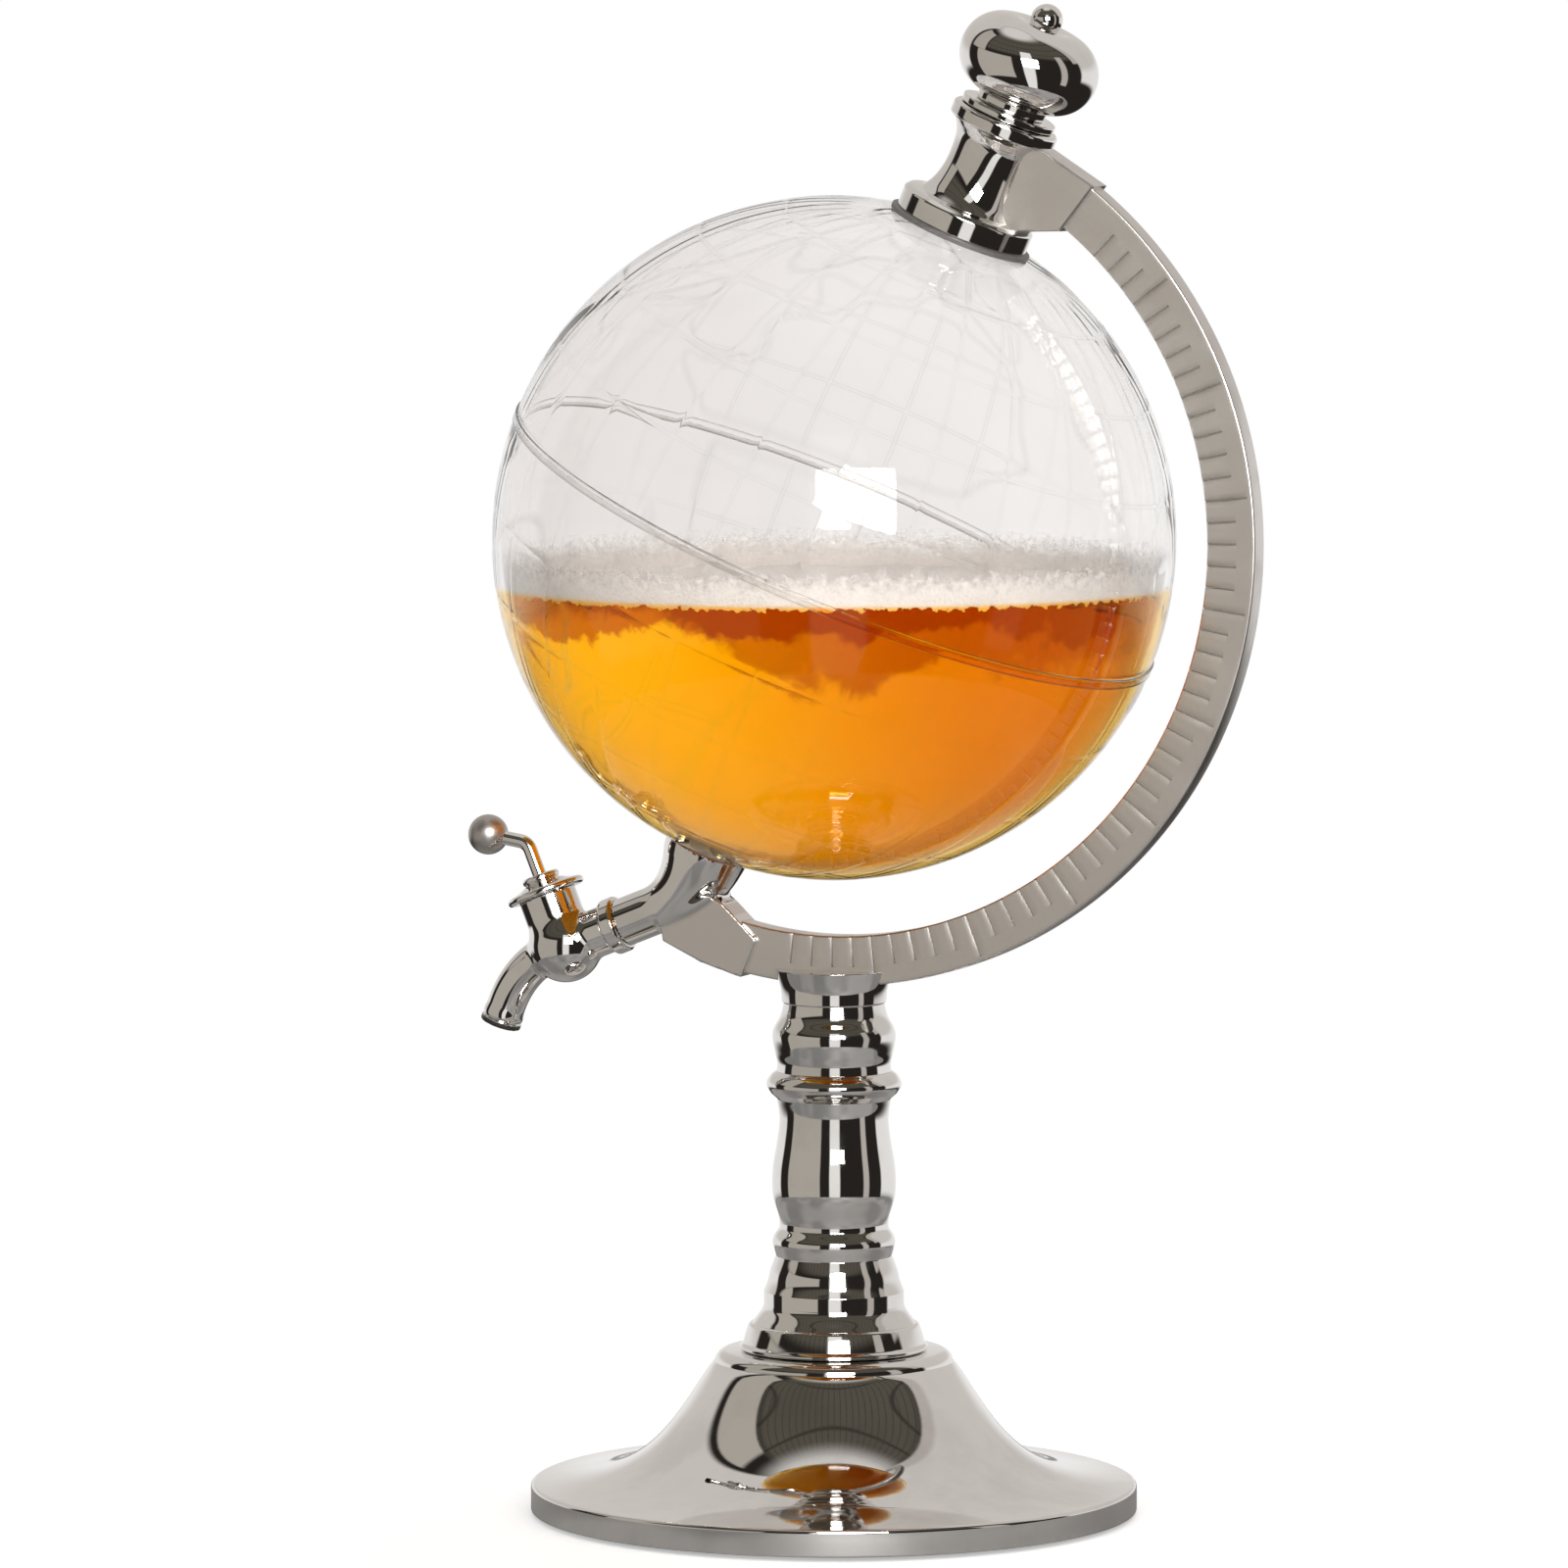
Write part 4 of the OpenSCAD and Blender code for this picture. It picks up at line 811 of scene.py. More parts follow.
class DISPENSER_OT_foot(bpy.types.Operator):
    """Adds the flared foot: a lathe form whose height dies away exponentially from the bell to the rim"""

    bl_idname = "dispenser.foot"
    bl_label = "Foot"

    def execute(self, context):
        s = sizes_in_mm(context)
        foot_r, top, bell_r = s.foot_radius, s.foot_height, s.bell_radius
        rim_low, rim_top, rim_round, shoulder, wall = 0.8, 8.8, 1.2, 3.2, 3.0
        fall, power, hole = 4.3, 1.28, 11
        span = foot_r - rim_round - bell_r
        r = np.linspace(foot_r - rim_round, bell_r, 64)
        share = np.exp(-fall * ((r - bell_r) / span) ** power)
        rise = rim_top + (top - shoulder - rim_top) * (share - math.exp(-fall)) / (1 - math.exp(-fall))
        bell = np.stack([r, rise], -1)
        under = np.stack([r[::-1] + rim_round - wall, np.minimum(rise - wall, top - 4)[::-1]], -1)
        outline = joined([(foot_r - wall, rim_low), (foot_r, rim_low)],
                         round_line((foot_r - rim_round, rim_top - rim_round), rim_round, 0, 84, 8), bell,
                         round_line((bell_r - shoulder, top - shoulder), shoulder, 0, 90, 12),
                         [(hole, top), (hole, top - 4)], under)
        turning(context, "flared_foot", "foot", outline, corner=0.5, sides=224)
        return {"FINISHED"}


class DISPENSER_OT_stem(bpy.types.Operator):
    """Adds the stem's ring, column and saddle: lathe forms on curves through their widest and narrowest
    points"""

    bl_idname = "dispenser.stem"
    bl_label = "Stem"

    def execute(self, context):
        ring = [(11, 48), (26.8, 48), (27.7, 48.5), (27.7, 49.3), (27.25, 49.8), (26.8, 50.2), (25.3, 55.1),
                (25.0, 55.7), (24.4, 56), (11, 56)]
        column = joined([(11, 56)],
                        smooth_line([(24, 56), (23.2, 57.1), (21.2, 59.9), (20.6, 61.6)]),
                        smooth_line([(20.6, 65.4), (19.4, 68.5), (18.6, 71.8), (17.1, 75.8)]),
                        smooth_line([(17.3, 76.7), (18, 79.7), (17.6, 81.7), (16.2, 83.9), (16, 85)]),
                        smooth_line([(16, 85.7), (16.4, 88), (18, 94), (18, 101.5), (16.6, 110.4),
                                     (16, 116.4), (16.8, 122.4)]),
                        smooth_line([(18.6, 124), (19.7, 125.9), (19.7, 127.5), (18.5, 129.4), (17, 130.5)]),
                        [(11, 130.5)])
        top = SADDLE_TOP / MM
        saddle = joined([(4.2, 130.5)],
                        smooth_line([(16.8, 130.5), (16.7, 132.9), (17.4, 136.1), (18.1, 140.5),
                                     (17.6, 143.2), (15.7, 146.8), (14.8, 150.6)]),
                        smooth_line([(15.3, 150.9), (15.8, 155.1), (17.3, top)]),
                        [(16.2, top), (4.2, top)])
        for name, node, outline in (("stem_ring_turning", "stem_ring", ring),
                                    ("column_turning", "stem_column", column),
                                    ("saddle_turning", "arc_saddle", saddle)):
            turning(context, name, node, outline, corner=0.45, sides=160)
        return {"FINISHED"}


class DISPENSER_OT_arc(bpy.types.Operator):
    """Adds the graduated meridian arc: a bevelled bar section carried round the globe, pressed in at each
    mark"""

    bl_idname = "dispenser.arc"
    bl_label = "Meridian arc"

    def execute(self, context):
        s = sizes_in_mm(context)
        inner, wide, half = s.arc_inner, s.arc_width, s.arc_thickness / 2
        outer, bevel = inner + wide, 0.6
        tenon = math.degrees(8 / inner)
        first, last = -90 + ARC_LOW_GAP - tenon, 90 - ARC_TOP_GAP + tenon
        step = s.tick_step
        marks = np.arange(math.ceil((first + 2 * tenon) / step), math.floor((last - 2 * tenon) / step) + 1)
        half_mark, short, long = 0.45, 9.0, 13.0
        width = math.degrees(half_mark / (inner + wide / 2))
        offsets = np.array([-0.36 * step, -width, -0.1 * width, 0.1 * width, width, 0.36 * step])
        turns = np.concatenate([np.linspace(first, marks[0] * step - 0.6 * step, 8),
                                (marks[:, None] * step + offsets).ravel(),
                                np.linspace(marks[-1] * step + 0.6 * step, last, 8)])
        corner = np.radians([0, 22.5, 45, 67.5, 90])
        rho_face = np.array([inner + bevel, inner + short - 0.1, inner + short + 0.05, inner + long - 0.1,
                             inner + long + 0.05, outer - bevel])
        front = np.stack([rho_face, np.full(6, -half)], -1)
        inset, drop = bevel * np.sin(corner), half - bevel + bevel * np.cos(corner)
        out_low = np.stack([outer - bevel + inset, -drop], -1)[1:]
        in_high = np.stack([inner + bevel - inset, drop], -1)[1:]
        mirrored = lambda line: line[::-1] * (1, -1)
        section = np.vstack([front, out_low, mirrored(out_low), mirrored(front), in_high, mirrored(in_high)])
        nearest = np.round(turns / step)
        cut = (np.abs(turns - nearest * step) < 0.5 * width) & (nearest >= marks[0]) & (nearest <= marks[-1])
        reach = np.where(nearest % 5 == 0, long, short) + inner
        rho, flat = section[None, :, 0], section[None, :, 1]
        depth = cut[:, None] * (rho < reach[:, None]) * (np.abs(flat) > half - bevel)
        w = np.radians(turns)[:, None]
        verts = np.stack([rho * np.cos(w), flat - np.sign(flat) * depth * s.tick_depth, rho * np.sin(w)], -1)
        rows, columns = verts.shape[:2]
        faces = grid_quads(rows, columns).tolist()
        faces += [list(range(columns))[::-1], list(range((rows - 1) * columns, rows * columns))]
        # The groove mark carries the painted shade of the engraved marks
        make_piece("graduated_arc", (verts.reshape(-1, 3), faces), arc_satin(context),
                   nodes=("meridian_arc",), slot="arc_metal", place=axis_place(s), crease=30,
                   marks={"groove": depth.ravel() * 1.0})
        return {"FINISHED"}


class DISPENSER_OT_collar(bpy.types.Operator):
    """Adds the upper collar: a lathe form on a waisted outline, with a bevelled plate for the socket arm"""

    bl_idname = "dispenser.collar"
    bl_label = "Upper collar"

    def execute(self, context):
        s = sizes_in_mm(context)
        outline = joined([(15.1, 100.07), (20, 99.2), (20, 105), (18.8, 106.2)],
                         smooth_line([(15.4, 106.6), (13.6, 109.2), (12.2, 113.2), (11.6, 118),
                                      (11.9, 124.4), (13.2, 127.8), (14.6, 129.8)]),
                         [(15.4, 129.8), (16, 130.4), (16, 133.6), (15.2, 134.4), (9, 134.4), (9, 104.6),
                          (15.1, 104.6)])
        w = math.radians(ARC_TOP_GAP)
        high, low = s.arc_inner + s.arc_width + 1, s.arc_inner - 1
        arm = [(10.6, 105.8), (17.4, 105.8), (low * math.sin(w), low * math.cos(w)),
               (high * math.sin(w), high * math.cos(w)), (15, 130.8), (10.6, 130.8)]
        turning(context, "collar_turning", "upper_collar", outline, corner=0.4, sides=144,
                place=axis_place(s))
        make_piece("collar_arm", plate(arm, half=6, bevel=0.55), arc_satin(context), nodes=("upper_collar",),
                   slot="arc_metal", place=axis_place(s), crease=30)
        return {"FINISHED"}


# Outlines of the raised land, in degrees east and north, as coarse generic shapes
LAND = (
    ((-168, 66), (-156, 71), (-128, 70), (-95, 72), (-82, 68), (-78, 62), (-93, 58), (-82, 52),
     (-78, 58), (-65, 60), (-56, 52), (-66, 44), (-75, 37), (-81, 30), (-81, 25), (-90, 30), (-97, 26),
     (-97, 19), (-88, 21), (-84, 11), (-79, 9), (-86, 12), (-105, 20), (-114, 30), (-124, 40),
     (-124, 48), (-135, 58), (-152, 60), (-165, 58)),
    ((-77, 8), (-62, 10), (-50, 0), (-35, -6), (-39, -15), (-48, -26), (-58, -38), (-66, -46),
     (-69, -54), (-74, -50), (-72, -35), (-70, -18), (-81, -5)),
    ((-17, 15), (-9, 32), (10, 37), (32, 31), (43, 12), (51, 11), (41, -3), (40, -15), (33, -27),
     (26, -34), (18, -34), (12, -17), (9, 3), (-8, 5)),
    ((-9, 37), (-9, 43), (-1, 46), (4, 52), (10, 58), (25, 70), (45, 67), (70, 72), (105, 77), (140, 72),
     (178, 67), (163, 60), (156, 52), (142, 58), (135, 45), (127, 38), (122, 31), (109, 20), (105, 9),
     (100, 14), (103, 2), (98, 10), (92, 22), (80, 14), (77, 8), (72, 20), (60, 25), (56, 18), (45, 13),
     (36, 28), (35, 36), (27, 37), (22, 38), (16, 40), (10, 44), (3, 42), (-5, 36)),
    ((114, -22), (131, -12), (142, -11), (153, -27), (147, -38), (131, -31), (116, -34)),
    ((-45, 60), (-22, 70), (-20, 80), (-45, 83), (-70, 77), (-54, 68)),
    ((44, -25), (50, -15), (47, -25)),
    ((130, 32), (141, 42), (141, 36)),
    ((96, 5), (106, -6), (118, -4), (109, 2)),
)


# Slope of the relief at which the shell's painted shade is at its greyest
FULL_SLOPE = 0.16


def on_globe(east, north):
    """A unit vector from degrees east and north."""
    east, north = np.radians(east), np.radians(north)
    return np.stack([np.cos(north) * np.cos(east), np.cos(north) * np.sin(east), np.sin(north)], -1)


def land_distance(east, north, radius):
    """Signed distance from the coast in millimetres, positive on land: the least distance from the chords
    of the outlines, with a point on land if a line to the east of it crosses the outline an odd number of
    times. The points are first moved by two waves, which roughen the coast."""
    east = (np.asarray(east) + 180) % 360 - 180
    wave = 1.6 * np.sin(np.radians(11 * east + 5 * north)) + 1.1 * np.sin(np.radians(23 * north - 7 * east))
    east, north = east + wave, north + 0.6 * wave
    points = on_globe(east, north)
    least, land = np.full(east.shape, 1e9), np.zeros(east.shape, bool)
    for outline in LAND:
        p = smooth_line(list(outline) + [outline[0]], 4)
        for a, b in zip(p[:-1], p[1:]):
            start, way = on_globe(*a), on_globe(*b) - on_globe(*a)
            t = np.clip(((points - start) @ way) / max(way @ way, 1e-9), 0, 1)
            least = np.minimum(least, np.linalg.norm(points - start - t[..., None] * way, axis=-1))
            if a[1] != b[1]:
                crossing = (a[1] > north) != (b[1] > north)
                land ^= crossing & (east < a[0] + (north - a[1]) * (b[0] - a[0]) / (b[1] - a[1]))
    return np.where(land, least, -least) * radius


class DISPENSER_OT_globe(bpy.types.Operator):
    """Adds the clear globe's two halves: a closed wall outline turned about the axis, whose outside is a
    sphere raised by grid ridges and by land with an S-shaped coast"""

    bl_idname = "dispenser.globe"
    bl_label = "Clear globe"

    def spaced(self, low, high, step):
        """Angles with extra samples at each grid line."""
        inner, clear, pitch = np.array([-0.5, -0.26, 0.0, 0.26, 0.5]), 1.4, 0.88
        lines = np.arange(math.ceil(low / step - 1e-6), math.floor(high / step + 1e-6) + 1) * step
        between = np.linspace(clear, step - clear, max(3, round((step - 2 * clear) / pitch)) + 1)
        every = np.concatenate([(lines[:, None] + inner).ravel(), (lines[:, None] + between).ravel(),
                                lines[0] - step + between])
        return np.unique(np.round(every[(every > low) & (every < high)], 4))

    def half(self, s, north, rest):
        """A closed wall: rows of latitude with relief outside, then the other points of the outline. Gives
        the surface and its painted shade per vertex: the relief's slope outside, a given value elsewhere."""
        radius, step, coast_width, ridge_width = s.globe_radius, s.grid_step, 1.6, 0.5
        east = self.spaced(0, 360 - 1e-6, step)
        e, n = np.meshgrid(east, north)
        coast = land_distance(e - s.map_turn, n, radius)
        rise = s.relief * ease(coast / coast_width + 0.5)
        gap = lambda a: np.abs((a + step / 2) % step - step / 2) * math.pi / 180 * radius
        meridian, parallel = gap(e) * np.cos(np.radians(n)), gap(n)
        shown = ease((72 - np.abs(n)) / 4) * (0.45 + 0.55 * ease(coast / 3 + 0.5))
        ridge = lambda away: np.exp(-(away / ridge_width) ** 2)
        line = s.ridge * shown * np.maximum(ridge(meridian), ridge(parallel) * (np.abs(n) > step / 2))
        fade = ease((np.abs(n) - 1.6) / 1.5) * ease((80 - np.abs(n)) / 2)
        height = (rise + line) * fade
        rows = np.gradient(height, axis=0) / (np.gradient(north) * math.pi / 180 * radius)[:, None]
        columns = np.gradient(height, axis=1) / (np.gradient(east) * math.pi / 180 * radius)[None]
        edge = np.hypot(rows, columns / np.maximum(np.cos(np.radians(n)), 0.15)) / FULL_SLOPE
        sphere = (radius + height)[..., None] * on_globe(e, n)
        w = np.radians(east)
        other = np.stack([rest[:, :1] * np.cos(w), rest[:, :1] * np.sin(w),
                          np.repeat(rest[:, 1:2], len(w), 1)], -1)
        verts = np.concatenate([sphere, other])
        shade = np.concatenate([np.clip(edge, 0, 1), np.repeat(rest[:, 2:], len(w), 1)])
        faces = grid_quads(len(verts), len(w), True)
        return (verts.reshape(-1, 3), faces), shade.ravel()

    def execute(self, context):
        s = sizes_in_mm(context)
        radius, inside, proud = s.globe_radius, s.globe_radius - s.globe_wall, s.seam_proud
        step = s.grid_step
        lip, filler, outlet, wall = radius + proud, 15, 8, 2.2
        at = lambda ring, ball: math.degrees(math.acos(ring / ball))
        # Painted shade: each outline point's last value says how grey the shell is painted there, darkest at
        # the seam band's edges
        shaded = lambda outline, dark: np.column_stack([outline, np.full(len(outline), dark)])
        inner = lambda low, high: shaded(round_line((0, 0), inside, low, high, 36), 0.0)
        seam, top, bottom = math.degrees(math.asin(1.55 / radius)), at(filler, radius), -at(outlet, radius)
        up = np.concatenate([[seam], self.spaced(seam + 0.3, top, step), [top]])
        down = np.concatenate([[bottom], self.spaced(bottom + 0.1, -seam - 0.3, step), [-seam]])
        upper_rest = np.vstack([shaded([(filler, 103.9), (14.4, 104.5), (13.4, 104.5),
                                        (filler - wall, 103.9)], 0.2),
                                inner(at(filler - wall, inside), 0),
                                shaded([(radius - 1.3, 0.0), (radius - 1.3, -1.5), (lip - 0.15, -1.5)], 0.3),
                                shaded([(lip, -1.35), (lip, -1.0)], 1.0),
                                shaded([(lip, -0.8), (lip, 0.8)], 0.0),
                                shaded([(lip, 1.0), (lip, 1.35), (lip - 0.15, 1.5)], 1.0)])
        lower_rest = np.vstack([shaded([(radius - 1.4, -1.55), (radius - 1.4, 0.0)], 0.3),
                                inner(0, -at(outlet - wall, inside)),
                                shaded([(outlet - wall, -106.6), (6.2, -107), (7.6, -107),
                                        (outlet, -106.6)], 0.2)])
        material = clear_shell(context, s.globe_height - s.liquid_depth)
        for name, node, north, rest in (("upper_shell", "globe_upper_half", up, upper_rest),
                                        ("lower_shell", "globe_lower_half", down, lower_rest)):
            surface, edge = self.half(s, north, rest)
            make_piece(name, surface, material, nodes=(node,), slot="clear_shell", place=axis_place(s),
                       crease=50, marks={"edge": edge})
        return {"FINISHED"}


class DISPENSER_OT_drink(bpy.types.Operator):
    """Adds the drink and its foam: zones of a sphere just inside the shell, the foam's top raised by
    summed waves"""

    bl_idname = "dispenser.drink"
    bl_label = "Drink and foam"

    def execute(self, context):
        s = sizes_in_mm(context)
        gap, lip, proud = 0.25, 1.6, 0.12
        r = s.globe_radius - s.globe_wall - gap
        level = -s.liquid_depth
        place = Place(0, (0, 0, s.globe_height))
        rim = math.degrees(math.asin(level / r))
        bowl = round_line((0, 0), r, -90, rim, 80)
        bowl[0, 0] = 0.0
        drink = joined(bowl, [(0.6 * math.sqrt(r * r - level * level), level), (0, level)])
        make_piece("drink", turned(drink, 192), drink_finish(context, s.globe_height + level), place=place)
        top = level + s.foam_depth
        outer = r + proud
        side = round_line((0, 0), outer, math.degrees(math.asin((level - lip) / outer)),
                          math.degrees(math.asin(top / outer)), 16)
        edge = side[-1, 0]
        across = np.linspace(0.995, 0.0, 40)
        outline = joined([(0, level + 0.3), (edge - 1.5, level + 0.3)], side,
                         np.stack([across * edge, np.full(40, top)], -1))
        verts, faces = turned(outline, 192)
        x, y = verts[:, 0], verts[:, 1]
        wave = (np.sin(0.21 * x + 1.3) * np.cos(0.26 * y) + 0.6 * np.sin(0.63 * x - 0.4 * y + 2.0)
                + 0.5 * np.cos(0.83 * y + 0.37 * x)
                + 0.35 * np.sin(1.7 * x + 0.9 * y) * np.sin(1.3 * y - 1.1 * x))
        lift = np.clip((verts[:, 2] - level) / s.foam_depth, 0, 1)
        verts[:, 2] += lift ** 2 * (0.25 * wave - 0.3)
        reach = np.sqrt(np.maximum(outer * outer - verts[:, 2] ** 2, 1.0)) / np.maximum(np.hypot(x, y), 1e-6)
        verts[:, :2] *= np.minimum(reach, 1.0)[:, None]
        finish = foam_finish(context, s.globe_height + level, s.globe_height + top, lip)
        make_piece("foam", (verts, faces), finish, place=place, crease=80)
        return {"FINISHED"}


class DISPENSER_OT_elbow(bpy.types.Operator):
    """Adds the outlet elbow: a horn whose radius falls on an S curve along a bent line, run into the socket
    arm's plate with a fillet"""

    bl_idname = "dispenser.elbow"
    bl_label = "Outlet elbow"

    def execute(self, context):
        s = sizes_in_mm(context)
        radius, bend, mouth_radius, narrowing = s.globe_radius, 30.0, 12.8, 5.6
        half_arm, arm_edge, fillet, clearance, onset = 6, 0.5, 2.2, 1.2, 1.2
        turn = math.radians(90 - s.lean - TAP_DROP)
        tangent = bend * math.tan(turn / 2)
        flow = np.array([-math.cos(math.pi / 2 - turn), -math.sin(math.pi / 2 - turn)])
        corner = np.array([0.0, -radius - ELBOW_DROP])
        mouth = np.array([0.0, -radius + 3])
        start = corner + np.array([0.0, tangent])
        centre = start + bend * np.array([-1.0, 0.0])
        out_length = ELBOW_REACH - tangent - COUPLING_LENGTH / 2
        lead = mouth[1] - start[1]
        line = (("straight", mouth, (0.0, -1.0), lead), ("round", centre, bend, 0.0, -turn),
                ("straight", corner + flow * tangent, flow, out_length))
        mouth_length = ELBOW_DROP + onset - tangent
        shift = lead - mouth_length
        end = corner + flow * (tangent + out_length)
        reach = 26.6
        high = 2 - math.sqrt(s.arc_inner ** 2 - reach ** 2)
        low = -math.sqrt((s.arc_inner + s.arc_width) ** 2 - reach ** 2) - 1.3
        arm = [(-6.4, low + 9), (0, low - 0.8), (13.3, low - 1.4), (reach, low), (reach, high),
               (12.2, high - 0.6), (0, high + 4)]

        def horn_distance(p):
            """Distance from the bent line less the radius there, cut off square at the horn's end."""
            d, along = path_distance(p, line)
            share = ease((along - shift) / (mouth_length + bend * turn))
            horn = d - (mouth_radius - narrowing * share)
            return np.maximum(horn, (p[:, 0] - end[0]) * flow[0] + (p[:, 2] - end[1]) * flow[1])

        def field(p):
            """The horn and the arm's plate with a fillet between them, kept clear of the globe."""
            horn = horn_distance(p)
            outline = flat_outline_distance(p[:, 0], p[:, 2], arm)
            both = soft_least(horn, rounded_block(outline, np.abs(p[:, 1]) - half_arm, arm_edge), fillet)
            return np.maximum(both, radius + clearance - np.linalg.norm(p, axis=1))

        verts, faces, normals = skin(field, (-34, -14.5, -143), (29, 14.5, -96), step=0.6)
        colours = context.scene.dispenser_colours
        casting = metal("chrome_elbow", colours.chrome, *MIRROR_POLISH, mark="arm",
                        turns_to=(colours.arc_metal, 0.3, 1.0))
        share = ease((horn_distance(verts) - 0.6) / 0.8)
        make_piece("elbow_casting", (verts, faces), casting, nodes=("outlet_elbow",), slot="chrome",
                   place=axis_place(s), normals=normals, marks={"arm": share})
        return {"FINISHED"}


class DISPENSER_OT_tap(bpy.types.Operator):
    """Adds the tap: a lathe ring for the coupling, a chamber, barrel, pipe and bent spout run together with
    fillets, and a lathe form for the bonnet"""

    bl_idname = "dispenser.tap"
    bl_label = "Tap"

    def execute(self, context):
        s = sizes_in_mm(context)
        half = COUPLING_LENGTH / 2
        ring = [(5.3, -half), (7.7, -half), (8.5, 0.8 - half), (8.5, half - 0.8), (7.7, half), (5.3, half)]
        turning(context, "coupling_ring", "tap_coupling", ring, corner=0.4, sides=96,
                place=corner_place(s).at(-ELBOW_REACH, 0, -90))

        bend, turn, lead, tip = 30.0, math.radians(48), 2.4, 6.2
        chamber_radius, barrel_radius, pipe_radius, spout_radius, bore_radius = 11, 8.7, 7.2, 5.8, 4.0
        centre = np.array([-lead, -bend])
        finish = centre + bend * np.array([-math.sin(turn), math.cos(turn)])
        way = np.array([-math.cos(turn), -math.sin(turn)])
        line = (("straight", (0.0, 0.0), (-1.0, 0.0), lead), ("round", centre, bend, math.pi / 2, turn),
                ("straight", finish, way, tip))
        run = lead + bend * turn + tip

        def field(p):
            """Chamber, barrel, pipe and spout run together with fillets, less the spout's bore."""
            x, y, z = p.T
            chamber = np.linalg.norm(p, axis=1) - chamber_radius
            barrel = rounded_block(np.hypot(x, y) - barrel_radius, np.abs(z - 7.5) - 8.5, 0.3)
            pipe = rounded_block(np.hypot(y, z) - pipe_radius, np.abs(x - 7.5) - 7.6, 0.3)
            d, along = path_distance(p, line)
            left = run - along
            flare, groove = 0.3 * ease((tip - left) / 3), 0.35 * np.exp(-((left - 2.3) / 0.3) ** 2)
            thick = spout_radius + flare - groove
            past = (x - finish[0]) * way[0] + (z - finish[1]) * way[1] - tip
            spout = np.where(left > 8, d - thick, rounded_block(d - thick, past, 0.5))
            body = soft_least(soft_least(chamber, barrel, 1.6), soft_least(pipe, spout, 1.0), 1.6)
            bore = np.where(past > 0, d - bore_radius, np.maximum(d - bore_radius, left - 14))
            return np.maximum(body, -bore)

        verts, faces, normals = skin(field, (-38, -12.5, -31), (16.5, 12.5, 17.5), step=0.5)
        _, along = path_distance(verts, line)
        # Painted shade: the spout's mouth turns black and dull over its last 1.9 mm, standing in for the
        # shade inside the outlet
        lip = ease((1.9 - (run - along)) / 0.5) * (verts[:, 0] < -15)
        body = metal("chrome_spout", context.scene.dispenser_colours.chrome, *MIRROR_POLISH, mark="lip",
                     turns_to=((0.02, 0.02, 0.02), 0.45, 0.0))
        make_piece("tap_casting", (verts, faces), body, nodes=("tap_body",), slot="chrome",
                   place=valve_place(s), normals=normals, marks={"lip": lip})

        bonnet = [(2.2, 16), (11.25, 16), (11.85, 16.6), (11.85, 17.6), (11.25, 18.2), (8.7, 18.8),
                  (5.1, 20.3), (5.7, 20.9), (5.7, 21.8), (5.1, 22.4), (2.2, 22.4)]
        turning(context, "bonnet_turning", "tap_bonnet", bonnet, corner=0.35, sides=112,
                place=valve_place(s))
        return {"FINISHED"}


class DISPENSER_OT_lever(bpy.types.Operator):
    """Adds the lever: a round bar along a straight, bent and straight line, and a ball turned on its end"""

    bl_idname = "dispenser.lever"
    bl_label = "Tap lever"

    def execute(self, context):
        s = sizes_in_mm(context)
        bend, top, reach, turn = 4.0, 32.6, 12.9, 59.0
        tangent = bend * math.tan(math.radians(turn / 2))
        way = np.array([-math.sin(math.radians(turn)), math.cos(math.radians(turn))])
        arm_start = np.array([0, top]) + way * tangent
        path = joined(np.stack([np.zeros(12), np.linspace(5.6, top - tangent, 12)], -1),
                      round_line((-bend, top - tangent), bend, 0, turn, 16),
                      arm_start + np.linspace(0, reach - tangent, 8)[:, None] * way)
        make_piece("lever_bar", tube(path[::-1], s.lever_radius), chrome(context), body="tap_handle",
                   nodes=("lever_rod",), slot="chrome", place=valve_place(s))
        ball = round_line((0, 0), s.ball_radius, -90, 90, 48)
        ball[[0, -1], 0] = 0.0
        ball[:, 1] += reach
        satin = metal("ball_metal", context.scene.dispenser_colours.ball_metal, rough=0.34,
                      rough_marked=0.42, bump=0.1)
        make_piece("lever_ball_turning", turned(ball, 96), satin, body="tap_handle", nodes=("lever_ball",),
                   slot="chrome", place=valve_place(s).at(0, top, -turn))
        return {"FINISHED"}


class DISPENSER_OT_cap(bpy.types.Operator):
    """Adds the filler cap: lathe forms for the stopper, the rolled knob and the finial"""

    bl_idname = "dispenser.cap"
    bl_label = "Filler cap"

    def execute(self, context):
        s = sizes_in_mm(context)
        roll, centre, neck, seat = s.knob_roll, (9.0, 151.2), 10.5, 136.8
        stopper = [(0, 122.1), (8.95, 122.1), (8.95, 134.6), (14.2, 134.6), (14.2, seat), (0, seat)]
        aside = neck - centre[0]
        knob_low = centre[1] - math.sqrt(roll ** 2 - aside ** 2)
        start = math.degrees(math.atan2(knob_low - centre[1], aside))
        stop = math.degrees(math.atan2(math.sqrt(roll ** 2 - centre[0] ** 2), -centre[0]))
        knob = joined([(0, seat), (neck, seat), (neck, knob_low)],
                      round_line(centre, roll, start, stop, 72))
        knob[-1, 0] = 0.0
        dimple = knob[-1, 1]
        bead = 4.7
        tip = dimple + 10.6 - bead
        finial = joined([(0, dimple - 0.8), (4.2, dimple - 0.8)],
                        smooth_line([(4.2, dimple), (4.0, dimple + 2), (4.3, tip - 1.9)]),
                        round_line((0, tip), bead, -22, 90, 24))
        finial[-1, 0] = 0.0
        for name, node, outline, corner in (("stopper_turning", "cap_stopper", stopper, 0.5),
                                            ("knob_turning", "cap_knob", knob, 0.8),
                                            ("finial_turning", "cap_finial", finial, 0.3)):
            turning(context, name, node, outline, corner, sides=144, closed=False, body="filler_cap",
                    place=axis_place(s))
        return {"FINISHED"}


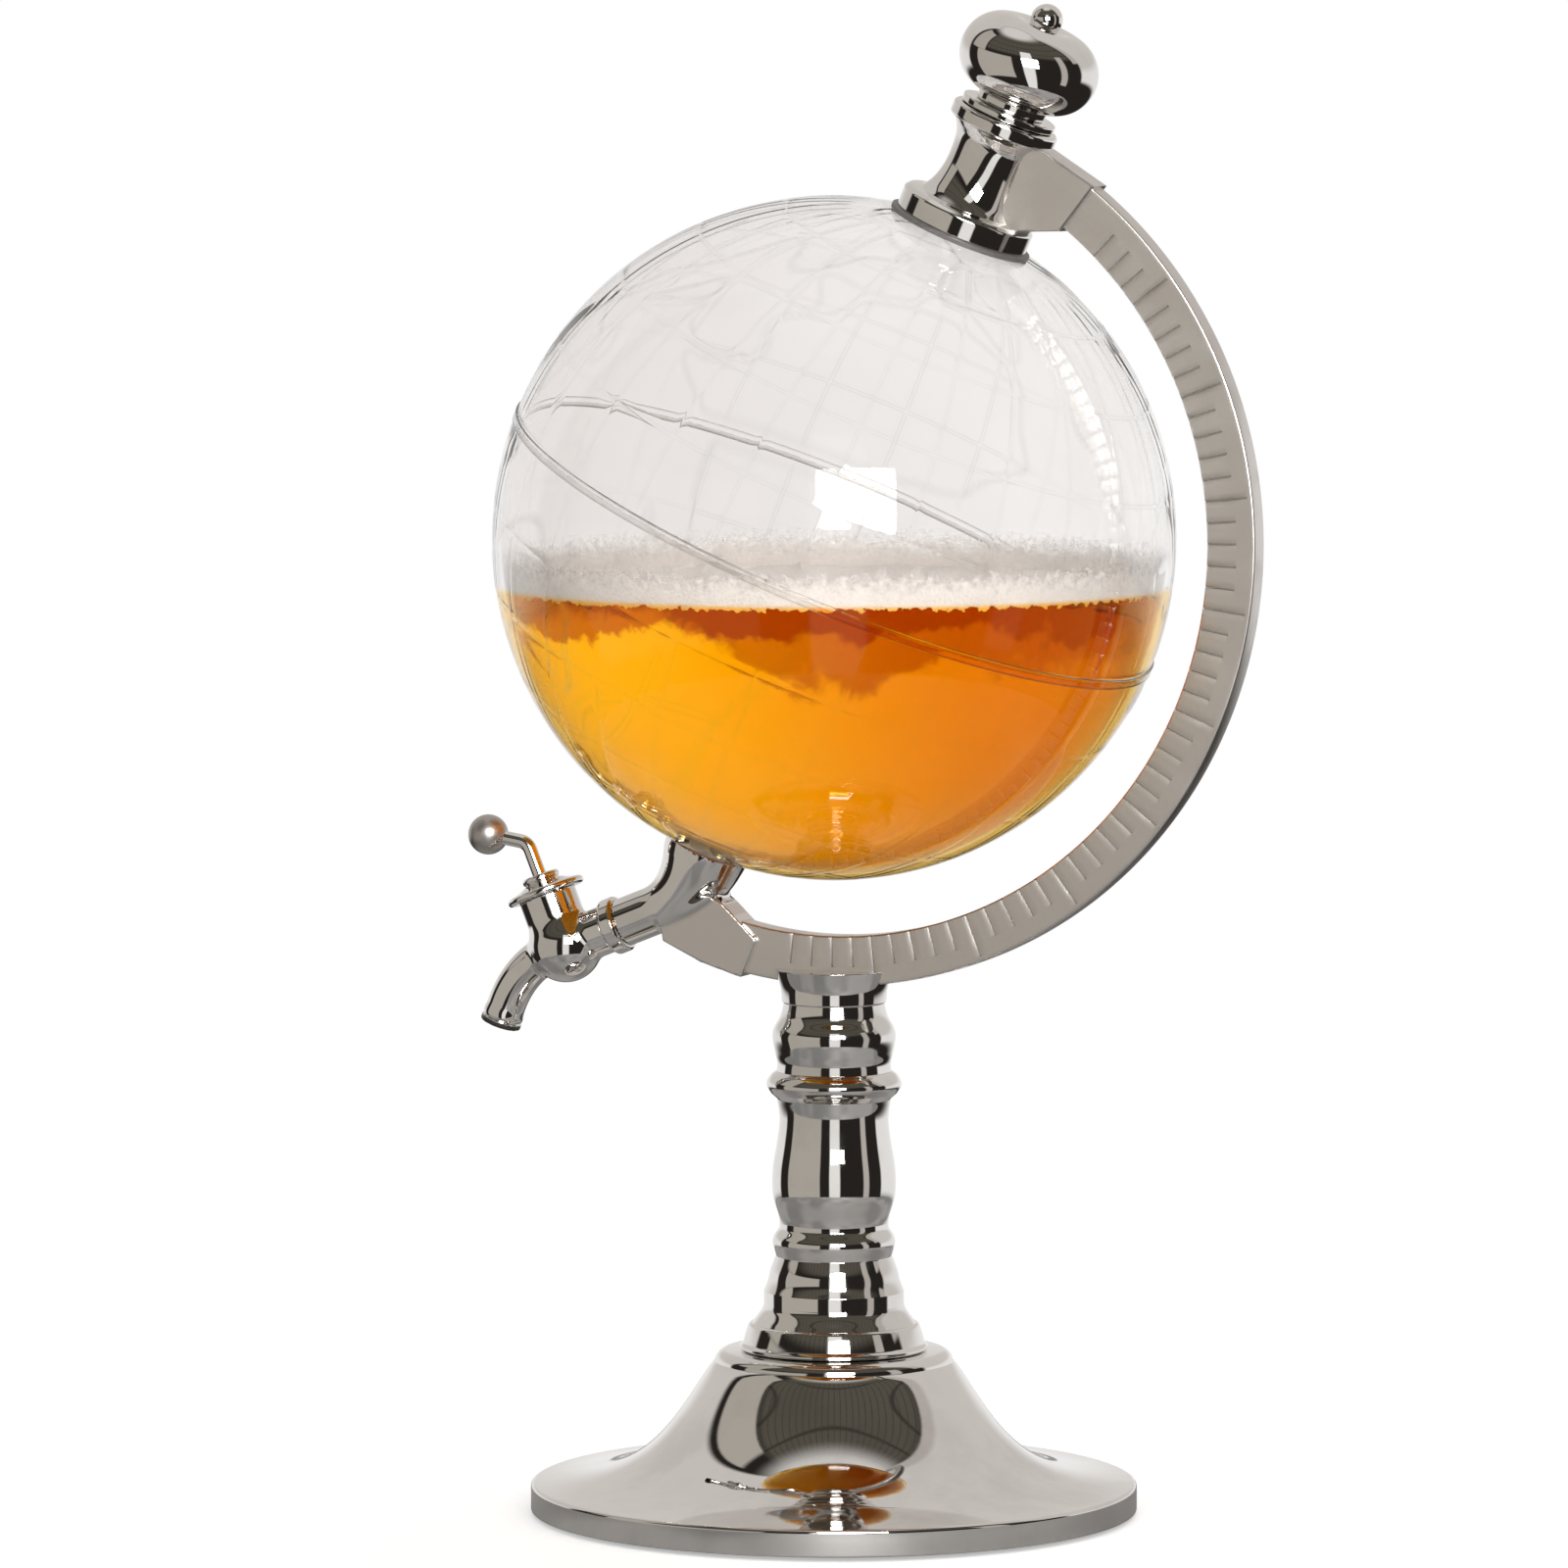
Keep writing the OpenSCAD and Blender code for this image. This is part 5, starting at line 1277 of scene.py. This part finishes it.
class DISPENSER_OT_inner(bpy.types.Operator):
    """Gives the gaskets, seals, fasteners, base plate and valve plug their finishes"""

    bl_idname = "dispenser.inner"
    bl_label = "Gaskets and inner pieces"

    def execute(self, context):
        colours = context.scene.dispenser_colours
        # Name, tone, spread of the tone, roughness, scale of the grain, bump, metallic value, and the nodes
        finishes = (("black_rubber", colours.rubber, 1.7, 0.62, 700.0, 0.2, 0.0,
                     ("outlet_seal_ring", "plug_seal_rings", "stopper_seal_ring", "base_pad")),
                    ("grey_gasket", colours.gasket, 1.9, 0.5, 240.0, 0.2, 0.0,
                     ("collar_gasket", "outlet_gasket")),
                    ("plate_paint", colours.plate, 1.5, 0.5, 420.0, 0.25, 0.0, ("base_plate",)),
                    ("plain_steel", colours.steel, 0.8, 0.34, 500.0, 0.15, 1.0,
                     ("base_plate_screws", "tie_rod", "tie_rod_nut", "tie_rod_washer", "arc_set_screws")),
                    ("plug_brass", colours.brass, 0.85, 0.3, 500.0, 0.12, 1.0, ("valve_plug",)))
        for *values, names in finishes:
            finish = grained(*values)
            for name in names:
                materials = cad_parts[name].data.materials
                materials.clear()
                materials.append(finish)
        return {"FINISHED"}


OPERATORS = (DISPENSER_OT_stage, DISPENSER_OT_foot, DISPENSER_OT_stem, DISPENSER_OT_arc,
             DISPENSER_OT_collar, DISPENSER_OT_globe, DISPENSER_OT_drink, DISPENSER_OT_elbow,
             DISPENSER_OT_tap, DISPENSER_OT_lever, DISPENSER_OT_cap, DISPENSER_OT_inner)


class DISPENSER_PT_panel(bpy.types.Panel):
    """Lists the pieces, sizes and colours of the dispenser"""

    bl_idname = "DISPENSER_PT_panel"
    bl_label = "Globe dispenser"
    bl_space_type = "VIEW_3D"
    bl_region_type = "UI"
    bl_category = "Dispenser"

    def draw(self, context):
        for operator in OPERATORS:
            self.layout.operator(operator.bl_idname)
        for group in (context.scene.dispenser_sizes, context.scene.dispenser_colours):
            box = self.layout.box()
            for key in group.__annotations__:
                box.prop(group, key)


CLASSES = (DispenserSizes, DispenserColours, *OPERATORS, DISPENSER_PT_panel)


def register():
    for item in CLASSES:
        bpy.utils.register_class(item)
    bpy.types.Scene.dispenser_sizes = PointerProperty(type=DispenserSizes)
    bpy.types.Scene.dispenser_colours = PointerProperty(type=DispenserColours)


def unregister():
    del bpy.types.Scene.dispenser_colours
    del bpy.types.Scene.dispenser_sizes
    for item in reversed(CLASSES):
        bpy.utils.unregister_class(item)


def main():
    """Builds every piece in order."""
    register()
    for operator in OPERATORS:
        group, name = operator.bl_idname.split(".")
        getattr(getattr(bpy.ops, group), name)()


if __name__ == "__main__":
    main()
